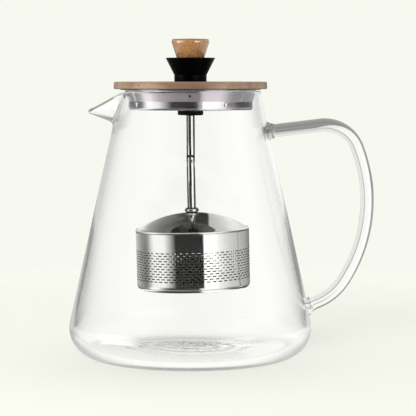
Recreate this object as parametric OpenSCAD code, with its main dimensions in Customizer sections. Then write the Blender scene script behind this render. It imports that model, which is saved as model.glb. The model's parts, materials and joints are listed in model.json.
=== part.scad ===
// Glass teapot with a pull-up infuser.
// A blown glass pot with a pulled spout and a welded rod handle carries a loose wooden lid.
// A chrome rod with a wooden knob slides through the lid, and a knuckle in it carries the strainer.
// Origin: centre of the base on the table. +Z up, spout towards -X, handle towards +X.

/* [Pot] */
// Height of the glass rim above the table
pot_h = 160.5; // [150:0.5:175]
// Outer radius of the glass at the rim
mouth_r = 42.4; // [38:0.1:47]
// Height of the almost upright neck below the rim
neck_h = 8; // [6:0.5:12]
// Widening of the neck from the rim down to the sloping wall
neck_flare = 1.1; // [0.6:0.1:2.4]
// Largest outer radius of the pot
belly_r = 73.2; // [68:0.1:80]
// Radius of the round heel between the wall and the base
heel_r = 18; // [14:0.5:22]
// Thickness of the glass wall
glass_t = 2.4; // [1.8:0.1:2.8]
// Thickness of the glass base
base_t = 4; // [3:0.1:6]
// Height of the low swell in the middle of the floor, left by the pontil
pontil_h = 1.4; // [0.6:0.1:2.5]
// Radius of that swell
pontil_r = 27; // [15:0.5:40]

/* [Spout] */
// Distance of the spout's tip from the pot's axis
spout_reach = 61.2; // [57:0.1:66]
// Drop of the spout's tip below the rim
spout_drop = 12.3; // [9:0.1:16]
// Drop below the rim of the point where the spout's underside leaves the wall
spout_root_drop = 18.4; // [17.5:0.1:22]
// Half of the spout's width where its edges leave the rim
spout_half_w = 14.5; // [11:0.1:17]
// Radius of the rounded tip, outside
spout_tip_r = 2.2; // [2.1:0.1:3]
// Thickness of the glass that is pulled out into the spout
spout_t = 1.7; // [1.4:0.1:2]
// Distance of the spout's edges above the line from its tip to the rim
spout_lip = 0.7; // [0.3:0.1:1.5]

/* [Handle] */
// Diameter of the glass rod
handle_d = 8; // [6:0.1:10]
// Drop below the rim of the upper weld
handle_drop = 24.4; // [20:0.1:30]
// Upward slope of the straight upper arm, in degrees
handle_arm_angle = 6.9; // [0:0.1:12]
// Length of the straight upper arm
handle_arm = 31; // [26:0.5:38]
// Bend radius of the upper corner
handle_bend_top = 20.9; // [16:0.1:26]
// Bend radius of the long grip
handle_bend_grip = 88; // [80:0.5:95]
// Bend radius of the lower corner
handle_bend_low = 33.6; // [28:0.1:40]
// Turn of the upper corner, in degrees
handle_top_angle = 75; // [70:0.5:80]
// Turn of the long grip, in degrees
handle_grip_angle = 55; // [50:0.5:60]
// Turn of the lower corner, in degrees
handle_low_angle = 36; // [30:0.5:38]
// Length of the weld's flare along the rod
weld_len = 4.5; // [3:0.1:7]
// Radius of the weld's flare at the wall
weld_r = 5.6; // [5:0.1:7]

/* [Lid] */
// Overhang of the wooden disc past the glass rim
disc_overhang = 3.5; // [1.5:0.1:9]
// Thickness of the wooden disc
disc_t = 4.4; // [3.5:0.1:7]
// Radius of the rounded edges of the disc
disc_edge = 0.7; // [0.3:0.1:1.5]
// Sheet thickness of the steel pan below the disc
pan_t = 0.6; // [0.4:0.1:0.9]
// Distance of the pan's flange, which rests on the rim, inside the rim's outer edge
flange_inset = 0.4; // [0:0.1:1.2]
// Step inwards from the top of the pan's flare to its upright skirt
pan_step = 1.8; // [1:0.1:4]
// Height of the flare and the step above it
pan_flare_h = 6.6; // [5:0.1:9]
// Height of the skirt below the flare
pan_skirt_h = 5.2; // [4:0.1:8]
// Radius of the pan's lower edge
pan_corner = 1.4; // [1:0.1:2]
// Number of pressed dimples round the skirt
dimples = 4; // [2:1:8]
// Radius of a dimple on the skirt
dimple_r = 1.6; // [1:0.1:1.8]
// Height of a dimple
dimple_h = 0.7; // [0.4:0.1:1]
// Direction of the first dimple from +X, in degrees
dimple_turn = -56; // [-90:1:90]
// Diameter of the vent hole in the flare
vent_d = 1.2; // [0.8:0.1:2]

/* [Knob socket and guide] */
// Radius of the black socket's neck on the disc
socket_neck_r = 9.7; // [8.5:0.1:11]
// Height of that neck
socket_neck_h = 4.1; // [3:0.1:6]
// Radius of the socket's top
socket_top_r = 14.9; // [13:0.1:18]
// Height of the socket's cone
socket_cone_h = 10.2; // [9:0.1:13]
// Radius of the hollow stem that passes through the lid
stem_r = 5.7; // [5.5:0.1:6.2]
// Radius of the guide's trumpet at its lower mouth
trumpet_r = 4.3; // [4.2:0.05:4.5]
// Radius of the guide's trumpet below the seal
throat_r = 3.1; // [3:0.05:3.4]
// Outer radius of the nut that clamps the lid from below
nut_r = 7.7; // [7.4:0.1:9]
// Height of that nut
nut_h = 2.6; // [2.2:0.1:5]
// Thickness of the sealing washer between the nut and the pan
washer_t = 0.8; // [0.5:0.1:1.5]
// Height of the silicone rod seal
seal_h = 2.4; // [1.6:0.1:3]
// Outer radius of the silicone rod seal
seal_r = 4.7; // [4.2:0.1:5.2]

/* [Knob] */
// Radius of the wooden knob at its top
knob_top_r = 11.6; // [10:0.05:13]
// Radius of the wooden knob at its foot, inside the socket
knob_foot_r = 6.3; // [5.5:0.1:7]
// Height of the wooden knob
knob_h = 17.4; // [14:0.1:24]
// Depth of the knob in its socket
knob_seat = 6; // [4:0.1:7]
// Radius of the rounded top edge
knob_edge = 1.5; // [0.8:0.1:2.5]
// Outer radius of the threaded insert in the knob
insert_r = 3.2; // [2.8:0.1:4]
// Length of the threaded insert
insert_h = 10; // [7:0.5:11]

/* [Rod and knuckle] */
// Diameter of the chrome rod
rod_d = 5; // [4.6:0.1:5.2]
// Diameter of the rod's threaded ends
thread_d = 4; // [3:0.1:4.2]
// Height of the knuckle's pin above the table
knuckle_z = 118.2; // [110:0.2:122]
// Diameter of the knuckle's pin
pin_d = 1.6; // [1.2:0.1:2]
// Thickness of the knuckle's tongue
tongue_t = 1.8; // [1.4:0.1:2.2]
// Distance from the pin to the shoulder of the upper rod
shoulder_gap = 3.7; // [3.3:0.1:5]
// Lean of the lower rod and the strainer at rest, in degrees
lean = 1.5; // [0:0.1:2]

/* [Strainer] */
// Radius of the strainer cup
cup_r = 34; // [28:0.1:35]
// Height of the strainer cup
cup_h = 34.6; // [25:0.1:38]
// Radius of the cup's lower edge
cup_corner = 2.6; // [1.5:0.1:4]
// Sheet thickness of the cup
cup_t = 0.7; // [0.5:0.05:1]
// Height of the dome's top above the table
dome_top_z = 87.2; // [86:0.1:90]
// Rise of the dome above its rim
dome_rise = 9.2; // [7:0.1:12]
// Sheet thickness of the dome
dome_t = 0.8; // [0.5:0.05:1]
// Height of the rolled rim of the dome
bead_h = 1.2; // [0.9:0.1:2]
// Width of the flat under the dome's rim
bead_w = 1.9; // [1.7:0.1:2.5]
// Height of the plug ring that holds the cup
ring_h = 7.5; // [5:0.1:9]
// Sheet thickness of the plug ring
ring_t = 0.7; // [0.5:0.05:0.9]
// Radius of the foot collar on the dome
collar_r = 4.2; // [3.8:0.1:5]
// Height of the foot collar
collar_h = 2.8; // [2:0.1:4]
// Distance across the flats of the foot nut
foot_nut_af = 7; // [6.5:0.1:8]
// Height of the foot nut
foot_nut_h = 3.2; // [2.4:0.1:4]

/* [Fits] */
// Radial clearance of the lid's pan in the glass mouth
mouth_gap = 1; // [0.6:0.1:1.4]
// Gap between the lid's flange and the glass rim
lid_gap = 0.3; // [0.2:0.05:0.5]
// Radial clearance of holes that a stem or rod passes through in one assembly
hole_gap = 0.15; // [0.1:0.05:0.3]
// Radial clearance of the running fits: rod in its seal, tongue on its pin
running_gap = 0.05; // [0.03:0.01:0.08]
// Gap between the knob and its socket
seat_gap = 0.35; // [0.3:0.05:0.5]
// Radial clearance of the plug ring in the cup
plug_gap = 0.15; // [0.1:0.05:0.25]
// Gap between the dome's rim and the cup's rim
rim_gap = 0.3; // [0.2:0.05:0.5]
// Side clearance of the tongue in its fork
tongue_gap = 0.1; // [0.05:0.01:0.15]

/* [Hidden] */

$fn = 96;
// Facets of a profile's round stretches
arc_steps = 10;
// Reach of cutting tools past what they cut
cut = 1;
// Sides of the handle's tube, turn of its bends from ring to ring, and rings along a weld
handle_sides = 20;
bend_angle = 6;
flare_steps = 4;

rod_r = rod_d / 2;
thread_r = thread_d / 2;
pin_r = pin_d / 2;
handle_r = handle_d / 2;

// Pot: the straight wall is the tangent from the heel's circle to the foot of the neck
neck_z = pot_h - neck_h;
neck_r = mouth_r + neck_flare;
heel_c = [belly_r - heel_r, heel_r];
heel_in_r = heel_r - glass_t;
heel_in_c = [belly_r - glass_t - heel_in_r, base_t + heel_in_r];
rim_r = glass_t / 2;
wall_slope = tan(tangent_turn(heel_c, heel_r, [neck_r, neck_z]));

// Spout: a cone through the tip, the root on the wall and the two edges on the rim
spout_tip = [spout_reach, pot_h - spout_drop];
spout_root = [wall_radius(pot_h - spout_root_drop), pot_h - spout_root_drop];
spout_edge = [sqrt(pow(mouth_r - rim_r, 2) - pow(spout_half_w, 2)), pot_h];
spout_low = atan2(spout_root[1] - spout_tip[1], spout_tip[0] - spout_root[0]);
spout_top = atan2(spout_edge[1] - spout_tip[1], spout_tip[0] - spout_edge[0]);
spout_spread = atan2(spout_half_w, norm(spout_tip - spout_edge));
spout_open = spout_top - spout_low;
spout_half = atan((1 / cos(spout_spread) - cos(spout_open)) / sin(spout_open));
spout_tilt = spout_half + spout_low;
spout_len = (spout_reach - mouth_r / 2) / cos(spout_tilt);

// Handle: a straight arm, three bends and a straight end that runs into the wall
handle_start = [wall_radius(pot_h - handle_drop), pot_h - handle_drop, handle_arm_angle];
handle_bends = [
  [handle_bend_top, handle_top_angle],
  [handle_bend_grip, handle_grip_angle],
  [handle_bend_low, handle_low_angle]
];
handle_path = [
  for (i = 0, p = ahead(handle_start, handle_arm);
       i <= len(handle_bends);
       p = i < len(handle_bends) ? bent(p, handle_bends[i]) : p, i = i + 1) p
];
handle_last = handle_path[len(handle_bends)];
handle_end = (wall_radius(handle_last[1]) - handle_last[0])
  / (cos(handle_last[2]) + wall_slope * sin(handle_last[2]));

handle_sink = 2 * glass_t;

// Lid stack, from the flange on the rim upwards and from the pan's floor downwards
disc_r = mouth_r + disc_overhang;
pan_flange_r = mouth_r - flange_inset;
pan_flare_r = mouth_r - glass_t - mouth_gap;
pan_skirt_r = pan_flare_r - pan_step;
flange_z = pot_h + lid_gap;
disc_z = flange_z + pan_t;
disc_top = disc_z + disc_t;
flare_z = flange_z - pan_flare_h;
pan_z = flare_z - pan_skirt_h;
washer_z = pan_z - washer_t;
nut_z = washer_z - nut_h;
stem_hole_r = stem_r + hole_gap;
stem_z = nut_z + nut_h / 4;
socket_z = disc_top + socket_neck_h;
socket_top = socket_z + socket_cone_h;
seat_z = socket_top - knob_seat;
knob_slope = (knob_top_r - knob_foot_r) / knob_h;
seal_top = seat_z - seat_gap - seal_h / 2;
seal_z = seal_top - seal_h;

// Knuckle and strainer, drawn hanging plumb and then leaned about the pin
slot_w = tongue_t + 2 * tongue_gap;
dome_r = cup_r + 0.2;
dome_rim_z = dome_top_z - dome_rise;
dome_edge_r = dome_r - bead_h;
sphere_r = (pow(dome_edge_r, 2) + pow(dome_rise, 2)) / (2 * dome_rise);
sphere_z = dome_top_z - sphere_r;
bead_z = dome_rim_z - bead_h;
cup_top = bead_z - rim_gap;
cup_z = cup_top - cup_h;
ring_r = cup_r - cup_t - plug_gap;
collar_top = dome_top_z + collar_h;
foot_nut_z = dome_top_z - dome_t - foot_nut_h - hole_gap;
rod_foot_z = foot_nut_z - 1;

// Angle of the tangent's outward normal, from a circle to a point above it
function tangent_turn(c, r, p) = atan2(p[1] - c[1], p[0] - c[0]) - acos(r / norm(p - c));
// Outer radius of the straight glass wall at a height
function wall_radius(z) = neck_r + (neck_z - z) * wall_slope;
// Points of an arc about c, from angle a to angle b
function arc(c, r, a, b) =
  [for (i = [0:arc_steps]) c + r * [cos(a + (b - a) * i / arc_steps), sin(a + (b - a) * i / arc_steps)]];
// Place and heading [x, z, angle] after a straight run
function ahead(p, run) = [p[0] + run * cos(p[2]), p[1] + run * sin(p[2]), p[2]];
// Place and heading after a bend [radius, turn] to the right
function bent(p, b) = [
  p[0] + b[0] * (sin(p[2]) - sin(p[2] - b[1])),
  p[1] + b[0] * (cos(p[2] - b[1]) - cos(p[2])),
  p[2] - b[1]
];

// Rod radius at a share of the weld's flare, from the wall outwards
function flare(t) = handle_r + (weld_r - handle_r) * pow(1 - t, 2);
// Stations [x, z, heading, radius] along the rod, from inside the wall to inside the wall
function handle_stations() = concat(
  [concat(ahead(handle_start, -handle_sink), weld_r)],
  [for (i = [0:flare_steps]) concat(ahead(handle_start, weld_len * i / flare_steps), flare(i / flare_steps))],
  [
    for (k = [0:len(handle_bends) - 1])
      let (steps = ceil(handle_bends[k][1] / bend_angle))
      for (i = [0:steps - 1])
        concat(bent(handle_path[k], [handle_bends[k][0], handle_bends[k][1] * i / steps]), handle_r)
  ],
  [
    for (i = [flare_steps:-1:0])
      concat(ahead(handle_last, handle_end - weld_len * i / flare_steps), flare(i / flare_steps))
  ],
  [concat(ahead(handle_last, handle_end + handle_sink), weld_r)]
);
// Ring points of the rod, each ring square to its heading
function handle_points() = [
  for (s = handle_stations(), i = [0:handle_sides - 1])
    let (a = 360 * i / handle_sides)
    [s[0] - s[3] * cos(a) * sin(s[2]), s[3] * sin(a), s[1] + s[3] * cos(a) * cos(s[2])]
];
// Triangles between neighbouring rings, with a fan over each end
function handle_faces() =
  let (n = handle_sides, rings = len(handle_stations()), last = n * (rings - 1))
  concat(
    [for (i = [1:n - 2]) [0, i, i + 1]],
    [
      for (k = [0:rings - 2], i = [0:n - 1])
        let (a = k * n + i, b = k * n + (i + 1) % n)
        each [[a, a + n, b], [b, a + n, b + n]]
    ],
    [for (i = [1:n - 2]) [last, last + i + 1, last + i]]
  );

// Outline of the pot from the axis along the base and up the outside to the rim
function pot_outside() = concat(
  [[0, 0]],
  arc(heel_c, heel_r, -90, tangent_turn(heel_c, heel_r, [neck_r, neck_z])),
  [[neck_r, neck_z]]
);
// Outline of the hollow from the neck down the inside to the axis
function pot_inside() = concat(
  [[neck_r - glass_t, neck_z]],
  arc(heel_in_c, heel_in_r, tangent_turn(heel_in_c, heel_in_r, [neck_r - glass_t, neck_z]), -90),
  [[pontil_r, base_t], [pontil_r / 2, base_t + pontil_h * 0.75], [0, base_t + pontil_h]]
);

// Solid of the pot's outer form, open to any height above the rim
module pot_outer() {
  top = pot_h + cut;
  rotate_extrude() polygon(concat(pot_outside(), [[mouth_r, pot_h], [mouth_r, top], [0, top]]));
}

// Space inside the pot, reaching past the rim
module pot_hollow() {
  mouth_in = mouth_r - glass_t;
  top = pot_h + cut;
  rotate_extrude() polygon(concat([[0, top], [mouth_in, top], [mouth_in, pot_h - rim_r]], pot_inside()));
}

// Round-nosed cone of the spout, drawn in by a wall thickness for the channel
module spout_cone(wall) {
  nose = spout_tip_r - wall;
  reach = spout_tip_r / sin(spout_half);
  apex = reach - nose / sin(spout_half);
  translate([-spout_tip[0], 0, spout_tip[1]])
    rotate([0, 90 - spout_tilt, 0])
      translate([0, 0, spout_tip_r - reach])
        rotate_extrude() polygon(concat(
          arc([0, reach], nose, -90, -spout_half),
          [[(spout_len - apex) * tan(spout_half), spout_len], [0, spout_len]]
        ));
}

// Wedge above the plane of the spout's edges
module above_spout() {
  size = 3 * belly_r;
  translate([-spout_tip[0], -size / 2, spout_tip[1]])
    rotate([0, -spout_top, 0])
      translate([-size / 2, 0, spout_lip]) cube([size, size, size]);
}

// Blown glass pot with its pulled spout
module glass_body() {
  color([0.85, 0.92, 0.93, 0.45])
    difference() {
      union() {
        rotate_extrude() polygon(concat(
          pot_outside(),
          arc([mouth_r - rim_r, pot_h - rim_r], rim_r, 0, 180),
          pot_inside()
        ));
        difference() {
          spout_cone(0);
          pot_hollow();
          above_spout();
          translate([0, 0, pot_h]) cylinder(r = belly_r, h = pot_h);
        }
      }
      intersection() {
        spout_cone(spout_t);
        translate([-2 * belly_r, -belly_r, 0]) cube([2 * belly_r, 2 * belly_r, 2 * pot_h]);
      }
    }
}

// Bent glass rod, flared where it is welded to the wall, swept as one tube
module glass_handle() {
  color([0.85, 0.92, 0.93, 0.45])
    difference() {
      polyhedron(points = handle_points(), faces = handle_faces(), convexity = 6);
      pot_outer();
    }
}

// Turned wooden disc of the lid
module lid_disc() {
  inner = stem_hole_r;
  color("peru")
    rotate_extrude() polygon(concat(
      [[inner, disc_z]],
      arc([disc_r - disc_edge, disc_z + disc_edge], disc_edge, -90, 0),
      arc([disc_r - disc_edge, disc_top - disc_edge], disc_edge, 0, 90),
      [[inner, disc_top]]
    ));
}

// Outline of the pan's outer face, drawn in by a distance for the inner face
function pan_face(d) = concat(
  [[stem_hole_r, pan_z + d]],
  arc([pan_skirt_r - pan_corner, pan_z + pan_corner], pan_corner - d, -90, 0),
  [
    [pan_skirt_r - d, flare_z],
    [pan_flare_r - d, flange_z - 2 * pan_t + d],
    [pan_flare_r - d, flange_z + d]
  ]
);
function reversed(list) = [for (i = [len(list) - 1:-1:0]) list[i]];

// Pressed steel pan that plugs the mouth and carries the lid on its flange
module lid_pan() {
  ball_r = (pow(dimple_r, 2) + pow(dimple_h, 2)) / (2 * dimple_h);
  ball_x = pan_skirt_r + dimple_h - ball_r;
  ball_z = (flare_z + pan_z + pan_corner) / 2;
  color("silver")
    difference() {
      union() {
        rotate_extrude() polygon(concat(
          pan_face(0),
          [[pan_flange_r, flange_z], [pan_flange_r, disc_z]],
          reversed(pan_face(pan_t))
        ));
        for (i = [0:dimples - 1])
          rotate([0, 0, dimple_turn + i * 360 / dimples])
            difference() {
              translate([ball_x, 0, ball_z]) sphere(r = ball_r);
              translate([0, 0, pan_z]) cylinder(r = pan_skirt_r - pan_t / 2, h = pan_flare_h);
            }
      }
      translate([0, 0, (flare_z + flange_z) / 2])
        rotate([90, 0, 0]) cylinder(d = vent_d, h = 2 * pan_flare_r);
    }
}

// Black moulded socket: funnel above the disc, hollow stem through the lid
module knob_socket() {
  floor_z = seat_z - seat_gap;
  mouth = knob_foot_r + knob_seat * knob_slope + seat_gap;
  color([0.07, 0.07, 0.07])
    rotate_extrude() polygon([
      [throat_r, seal_z],
      [seal_r, seal_z],
      [seal_r, seal_top],
      [rod_r + hole_gap, seal_top],
      [rod_r + hole_gap, floor_z],
      [knob_foot_r + seat_gap, floor_z],
      [mouth, socket_top],
      [socket_top_r, socket_top],
      [socket_neck_r, socket_z],
      [socket_neck_r, disc_top],
      [stem_r, disc_top],
      [stem_r, stem_z],
      [trumpet_r, stem_z]
    ]);
}

// Silicone washer that seals the pan's hole
module seal_washer() {
  color([0.12, 0.12, 0.12])
    translate([0, 0, washer_z])
      difference() {
        cylinder(r = nut_r, h = washer_t);
        translate([0, 0, -cut]) cylinder(r = stem_hole_r, h = washer_t + 2 * cut);
      }
}

// Black nut that clamps the lid's stack on the stem
module guide_nut() {
  edge = nut_h / 3;
  color([0.09, 0.09, 0.09])
    rotate_extrude() polygon(concat(
      [[trumpet_r, nut_z]],
      arc([nut_r - edge, nut_z + edge], edge, -90, 0),
      [
        [nut_r, washer_z],
        [stem_r + running_gap, washer_z],
        [stem_r + running_gap, stem_z],
        [trumpet_r, stem_z]
      ]
    ));
}

// Silicone ring that grips the rod, so that the strainer stays at the height it is pulled to
module rod_seal() {
  lip = seal_h / 4;
  color([0.2, 0.2, 0.2])
    rotate_extrude() polygon([
      [rod_r + running_gap, seal_z + lip],
      [rod_r + hole_gap + lip, seal_z],
      [seal_r, seal_z],
      [seal_r, seal_top],
      [rod_r + hole_gap + lip, seal_top],
      [rod_r + running_gap, seal_top - lip]
    ]);
}

// Turned wooden knob, nested in the socket
module wood_knob() {
  top = seat_z + knob_h;
  inner = insert_r + running_gap;
  bore_top = seat_z + insert_h + cut;
  color("sienna")
    rotate_extrude() polygon(concat(
      [[inner, seat_z], [knob_foot_r, seat_z]],
      arc([knob_top_r - knob_edge, top - knob_edge], knob_edge, -atan(knob_slope), 90),
      [[0, top], [0, bore_top], [inner, bore_top]]
    ));
}

// Brass insert in the knob that takes the rod's thread
module knob_insert() {
  color("darkgoldenrod")
    translate([0, 0, seat_z])
      difference() {
        cylinder(r = insert_r, h = insert_h);
        translate([0, 0, -cut]) cylinder(r = thread_r + running_gap, h = insert_h + 2 * cut);
      }
}

// Tongue of the knuckle, round about the pin
module tongue(height) {
  translate([0, tongue_t / 2, 0])
    rotate([90, 0, 0]) {
      cylinder(r = rod_r, h = tongue_t);
      translate([-rod_r, 0, 0]) cube([2 * rod_r, height, tongue_t]);
    }
}

// Chrome rod from the knob down to the knuckle's tongue
module upper_rod() {
  shoulder = knuckle_z + shoulder_gap;
  color("gainsboro")
    union() {
      translate([0, 0, shoulder]) cylinder(r = rod_r, h = seat_z - shoulder);
      translate([0, 0, seat_z - cut]) cylinder(r = thread_r, h = insert_h + cut);
      difference() {
        intersection() {
          translate([0, 0, knuckle_z]) tongue(shoulder_gap + cut);
          translate([0, 0, knuckle_z - rod_d]) cylinder(r = rod_r, h = 2 * rod_d);
        }
        translate([0, rod_d, knuckle_z]) rotate([90, 0, 0]) cylinder(r = pin_r + running_gap, h = 2 * rod_d);
      }
    }
}

// Leans what hangs below the knuckle about the pin
module hung() {
  translate([0, 0, knuckle_z]) rotate([0, -lean, 0]) translate([0, 0, -knuckle_z]) children();
}

// Chrome rod from the knuckle's fork down through the dome
module lower_rod() {
  slot_z = knuckle_z - rod_r - 2 * tongue_gap - shoulder_gap / 4;
  color("gainsboro")
    hung() difference() {
      union() {
        translate([0, 0, dome_top_z]) cylinder(r = rod_r, h = knuckle_z - dome_top_z);
        translate([0, 0, rod_foot_z]) cylinder(r = thread_r, h = dome_top_z - rod_foot_z + cut);
        intersection() {
          translate([0, rod_r, knuckle_z]) rotate([90, 0, 0]) cylinder(r = rod_r, h = rod_d);
          translate([0, 0, knuckle_z]) cylinder(r = rod_r, h = rod_d);
        }
      }
      translate([-rod_d, -slot_w / 2, slot_z]) cube([2 * rod_d, slot_w, 3 * rod_d]);
      translate([0, rod_d, knuckle_z]) rotate([90, 0, 0]) cylinder(r = pin_r, h = 2 * rod_d);
    }
}

// Steel pin of the knuckle, pressed into the fork
module knuckle_pin() {
  color("darkgray")
    hung() translate([0, rod_r, knuckle_z]) rotate([90, 0, 0]) cylinder(r = pin_r, h = rod_d);
}

// Barrel-shaped collar that stands on the dome
module foot_collar() {
  inner = rod_r + running_gap;
  color("silver")
    hung() rotate_extrude() polygon([
      [inner, dome_top_z],
      [collar_r - collar_h / 3, dome_top_z],
      [collar_r, dome_top_z + collar_h / 3],
      [collar_r, dome_top_z + 2 * collar_h / 3],
      [collar_r - collar_h / 4, collar_top],
      [inner, collar_top]
    ]);
}

// Nut that holds the dome on the rod from inside
module foot_nut() {
  color("darkgray")
    hung() translate([0, 0, foot_nut_z])
      difference() {
        cylinder(d = foot_nut_af / cos(30), h = foot_nut_h, $fn = 6);
        translate([0, 0, -cut]) cylinder(r = thread_r + running_gap, h = foot_nut_h + 2 * cut);
      }
}

// Angle of a point on the dome, at a radius from its axis
function dome_turn(r, ball) = acos(r / ball);

// Domed steel lid of the strainer with its rolled rim
module strainer_lid() {
  hole = thread_r + hole_gap;
  inner_ball = sphere_r - dome_t;
  inner_edge = dome_r - bead_w;
  c = [0, sphere_z];
  color("silver")
    hung() rotate_extrude() polygon(concat(
      arc(c, inner_ball, dome_turn(hole, inner_ball), dome_turn(inner_edge, inner_ball)),
      [[inner_edge, bead_z], [dome_r, bead_z]],
      arc([dome_edge_r, bead_z + bead_h * 0.3], bead_h, 0, 60),
      arc(c, sphere_r, dome_turn(dome_edge_r, sphere_r), dome_turn(hole, sphere_r))
    ));
}

// Steel ring under the dome that plugs into the cup
module plug_ring() {
  color("silver")
    hung() translate([0, 0, bead_z - ring_h])
      difference() {
        cylinder(r = ring_r, h = ring_h);
        translate([0, 0, -cut]) cylinder(r = ring_r - ring_t, h = ring_h + 2 * cut);
      }
}

// Drawn steel cup of the strainer
module strainer_cup() {
  inner = cup_r - cup_t;
  corner_c = [cup_r - cup_corner, cup_z + cup_corner];
  color("lightgray")
    hung() rotate_extrude() polygon(concat(
      [[0, cup_z]],
      arc(corner_c, cup_corner, -90, 0),
      [[cup_r, cup_top], [inner, cup_top]],
      arc(corner_c, cup_corner - cup_t, 0, -90),
      [[0, cup_z + cup_t]]
    ));
}

glass_body();
glass_handle();
lid_disc();
lid_pan();
knob_socket();
seal_washer();
guide_nut();
rod_seal();
wood_knob();
knob_insert();
upper_rod();
lower_rod();
knuckle_pin();
foot_collar();
foot_nut();
strainer_lid();
plug_ring();
strainer_cup();
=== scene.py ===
# %% [markdown]
# # Glass teapot with a pull-up infuser
# The packed CAD model is the frame. Every piece that shows is made again here
# with smooth, round surfaces and a finish of its own, and rides on the body
# that the CAD node belongs to. Sizes come from the packed nodes where they can,
# so the looks stay on the frame. Lengths in the helpers are millimetres.

# %% Load the packed model
import json
import math
import bpy
import bmesh
from mathutils import Matrix, Vector


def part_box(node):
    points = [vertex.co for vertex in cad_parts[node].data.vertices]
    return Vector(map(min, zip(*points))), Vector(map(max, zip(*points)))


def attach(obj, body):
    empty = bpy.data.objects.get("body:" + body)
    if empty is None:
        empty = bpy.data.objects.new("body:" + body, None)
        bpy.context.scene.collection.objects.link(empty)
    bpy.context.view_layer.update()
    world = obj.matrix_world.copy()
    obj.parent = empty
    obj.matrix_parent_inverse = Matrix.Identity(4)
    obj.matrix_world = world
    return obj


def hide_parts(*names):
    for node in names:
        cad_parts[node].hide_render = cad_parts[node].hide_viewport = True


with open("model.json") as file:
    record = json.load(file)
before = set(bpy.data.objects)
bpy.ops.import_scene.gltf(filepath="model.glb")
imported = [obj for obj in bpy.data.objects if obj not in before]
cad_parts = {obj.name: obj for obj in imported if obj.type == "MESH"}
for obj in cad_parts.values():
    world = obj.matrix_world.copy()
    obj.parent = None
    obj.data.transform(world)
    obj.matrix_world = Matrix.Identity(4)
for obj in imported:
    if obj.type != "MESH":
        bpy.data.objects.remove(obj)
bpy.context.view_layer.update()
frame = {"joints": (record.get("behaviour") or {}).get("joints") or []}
MM = 0.001

# %% [markdown]
# ## Reading sizes off the frame
# A node's box gives its radius and its two heights, since nearly all pieces are
# turned about the pot's axis. The strainer hangs a little out of plumb about the
# knuckle's pin. Its pieces are made plumb first and leaned by one matrix, which
# is the easiest way to keep them in line with each other.

# %% Sizes and the lean of the strainer


def span(node):
    """Lowest and highest corner of a CAD node, in millimetres."""
    low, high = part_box(node)
    return low / MM, high / MM


joints = {joint["name"]: joint for joint in frame["joints"]}
pin_z = joints["knuckle_swing"]["pos_m"][2] / MM
lean = math.asin(joints["cup_release"]["axis"][0])
pin = Vector((0, 0, pin_z * MM))
HANG = (Matrix.Translation(pin) @ Matrix.Rotation(-lean, 4, "Y")
        @ Matrix.Translation(-pin))

pot_high = span("glass_body")[1]
POT_H, BELLY_R = pot_high.z, pot_high.y
MOUTH_R, NECK_R, NECK_H, HEEL_R = 42.4, 43.5, 8.0, 18.0
GLASS_T, BASE_T = 2.4, 4.0
SPOUT_REACH, SPOUT_DROP, SPOUT_ROOT, SPOUT_HALF_W = 61.2, 12.3, 18.4, 14.5
SPOUT_ROUND, SPOUT_T, SPOUT_LIP = 2.2, 1.7, 0.7
tip = Vector((SPOUT_REACH, POT_H - SPOUT_DROP))
lip = Vector((math.sqrt((MOUTH_R - GLASS_T / 2) ** 2 - SPOUT_HALF_W ** 2), POT_H))
disc_low, disc_high = span("lid_disc")
pan_low, pan_high = span("lid_pan")
knob_low, knob_high = span("wood_knob")
print(f"pot {POT_H:.1f} high, belly {BELLY_R:.1f}, lean {math.degrees(lean):.2f} degrees")

# %% [markdown]
# ## Shader signals as Python expressions
# A material is a small sum: noise, stripes and masks are added and multiplied.
# The class below wraps one socket, so that `1 - mask * 0.3` adds the Math nodes
# by itself. Any other node is added by one method that takes its type, its
# settings and what feeds its sockets. The same class serves Geometry Nodes.

# %% Signal class


class Signal:
    """One output socket in a node tree, with arithmetic."""

    def __init__(self, tree, socket):
        self.tree, self.socket = tree, socket

    def math(self, operation, *others):
        """A Math node with this signal as its first value."""
        return self.tree.add("ShaderNodeMath", 0, {"operation": operation}, self, *others)

    def __add__(self, other):
        return self.math("ADD", other)

    def __sub__(self, other):
        return self.math("SUBTRACT", other)

    def __rsub__(self, other):
        return self.tree.add("ShaderNodeMath", 0, {"operation": "SUBTRACT"}, other, self)

    def __mul__(self, other):
        return self.math("MULTIPLY", other)

    def __truediv__(self, other):
        return self.math("DIVIDE", other)

    def __pow__(self, other):
        return self.math("POWER", other)

    def __neg__(self):
        return self.math("MULTIPLY", -1.0)

    def __abs__(self):
        return self.math("ABSOLUTE")

    __radd__, __rmul__ = __add__, __mul__

    def either(self, other):
        """The greater of two masks."""
        return self.math("MAXIMUM", other)

    def ramp(self, low, high):
        """0 below low, 1 above high, smooth between."""
        return self.tree.add("ShaderNodeMapRange", "Result",
                             {"interpolation_type": "SMOOTHSTEP"},
                             self, low, high, 0.0, 1.0)

    def within(self, low, full, past, high):
        """0 outside low and high, 1 from full to past."""
        return self.ramp(low, full) * (1 - self.ramp(past, high))

    def blend(self, first, second):
        """Colour between two colours by this signal."""
        return self.tree.add("ShaderNodeMix", "Result_Color", {"data_type": "RGBA"},
                             Factor_Float=self, A_Color=first, B_Color=second)


print("a signal adds", sorted(name for name in vars(Signal) if not name.startswith("_")))

# %% [markdown]
# The tree class holds the one method that adds a node. The rest of its methods
# are short names for what the finishes ask for most: noise, the place on the
# piece, the way the surface faces, a row of colours and a bump.

# %% Node tree class


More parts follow.
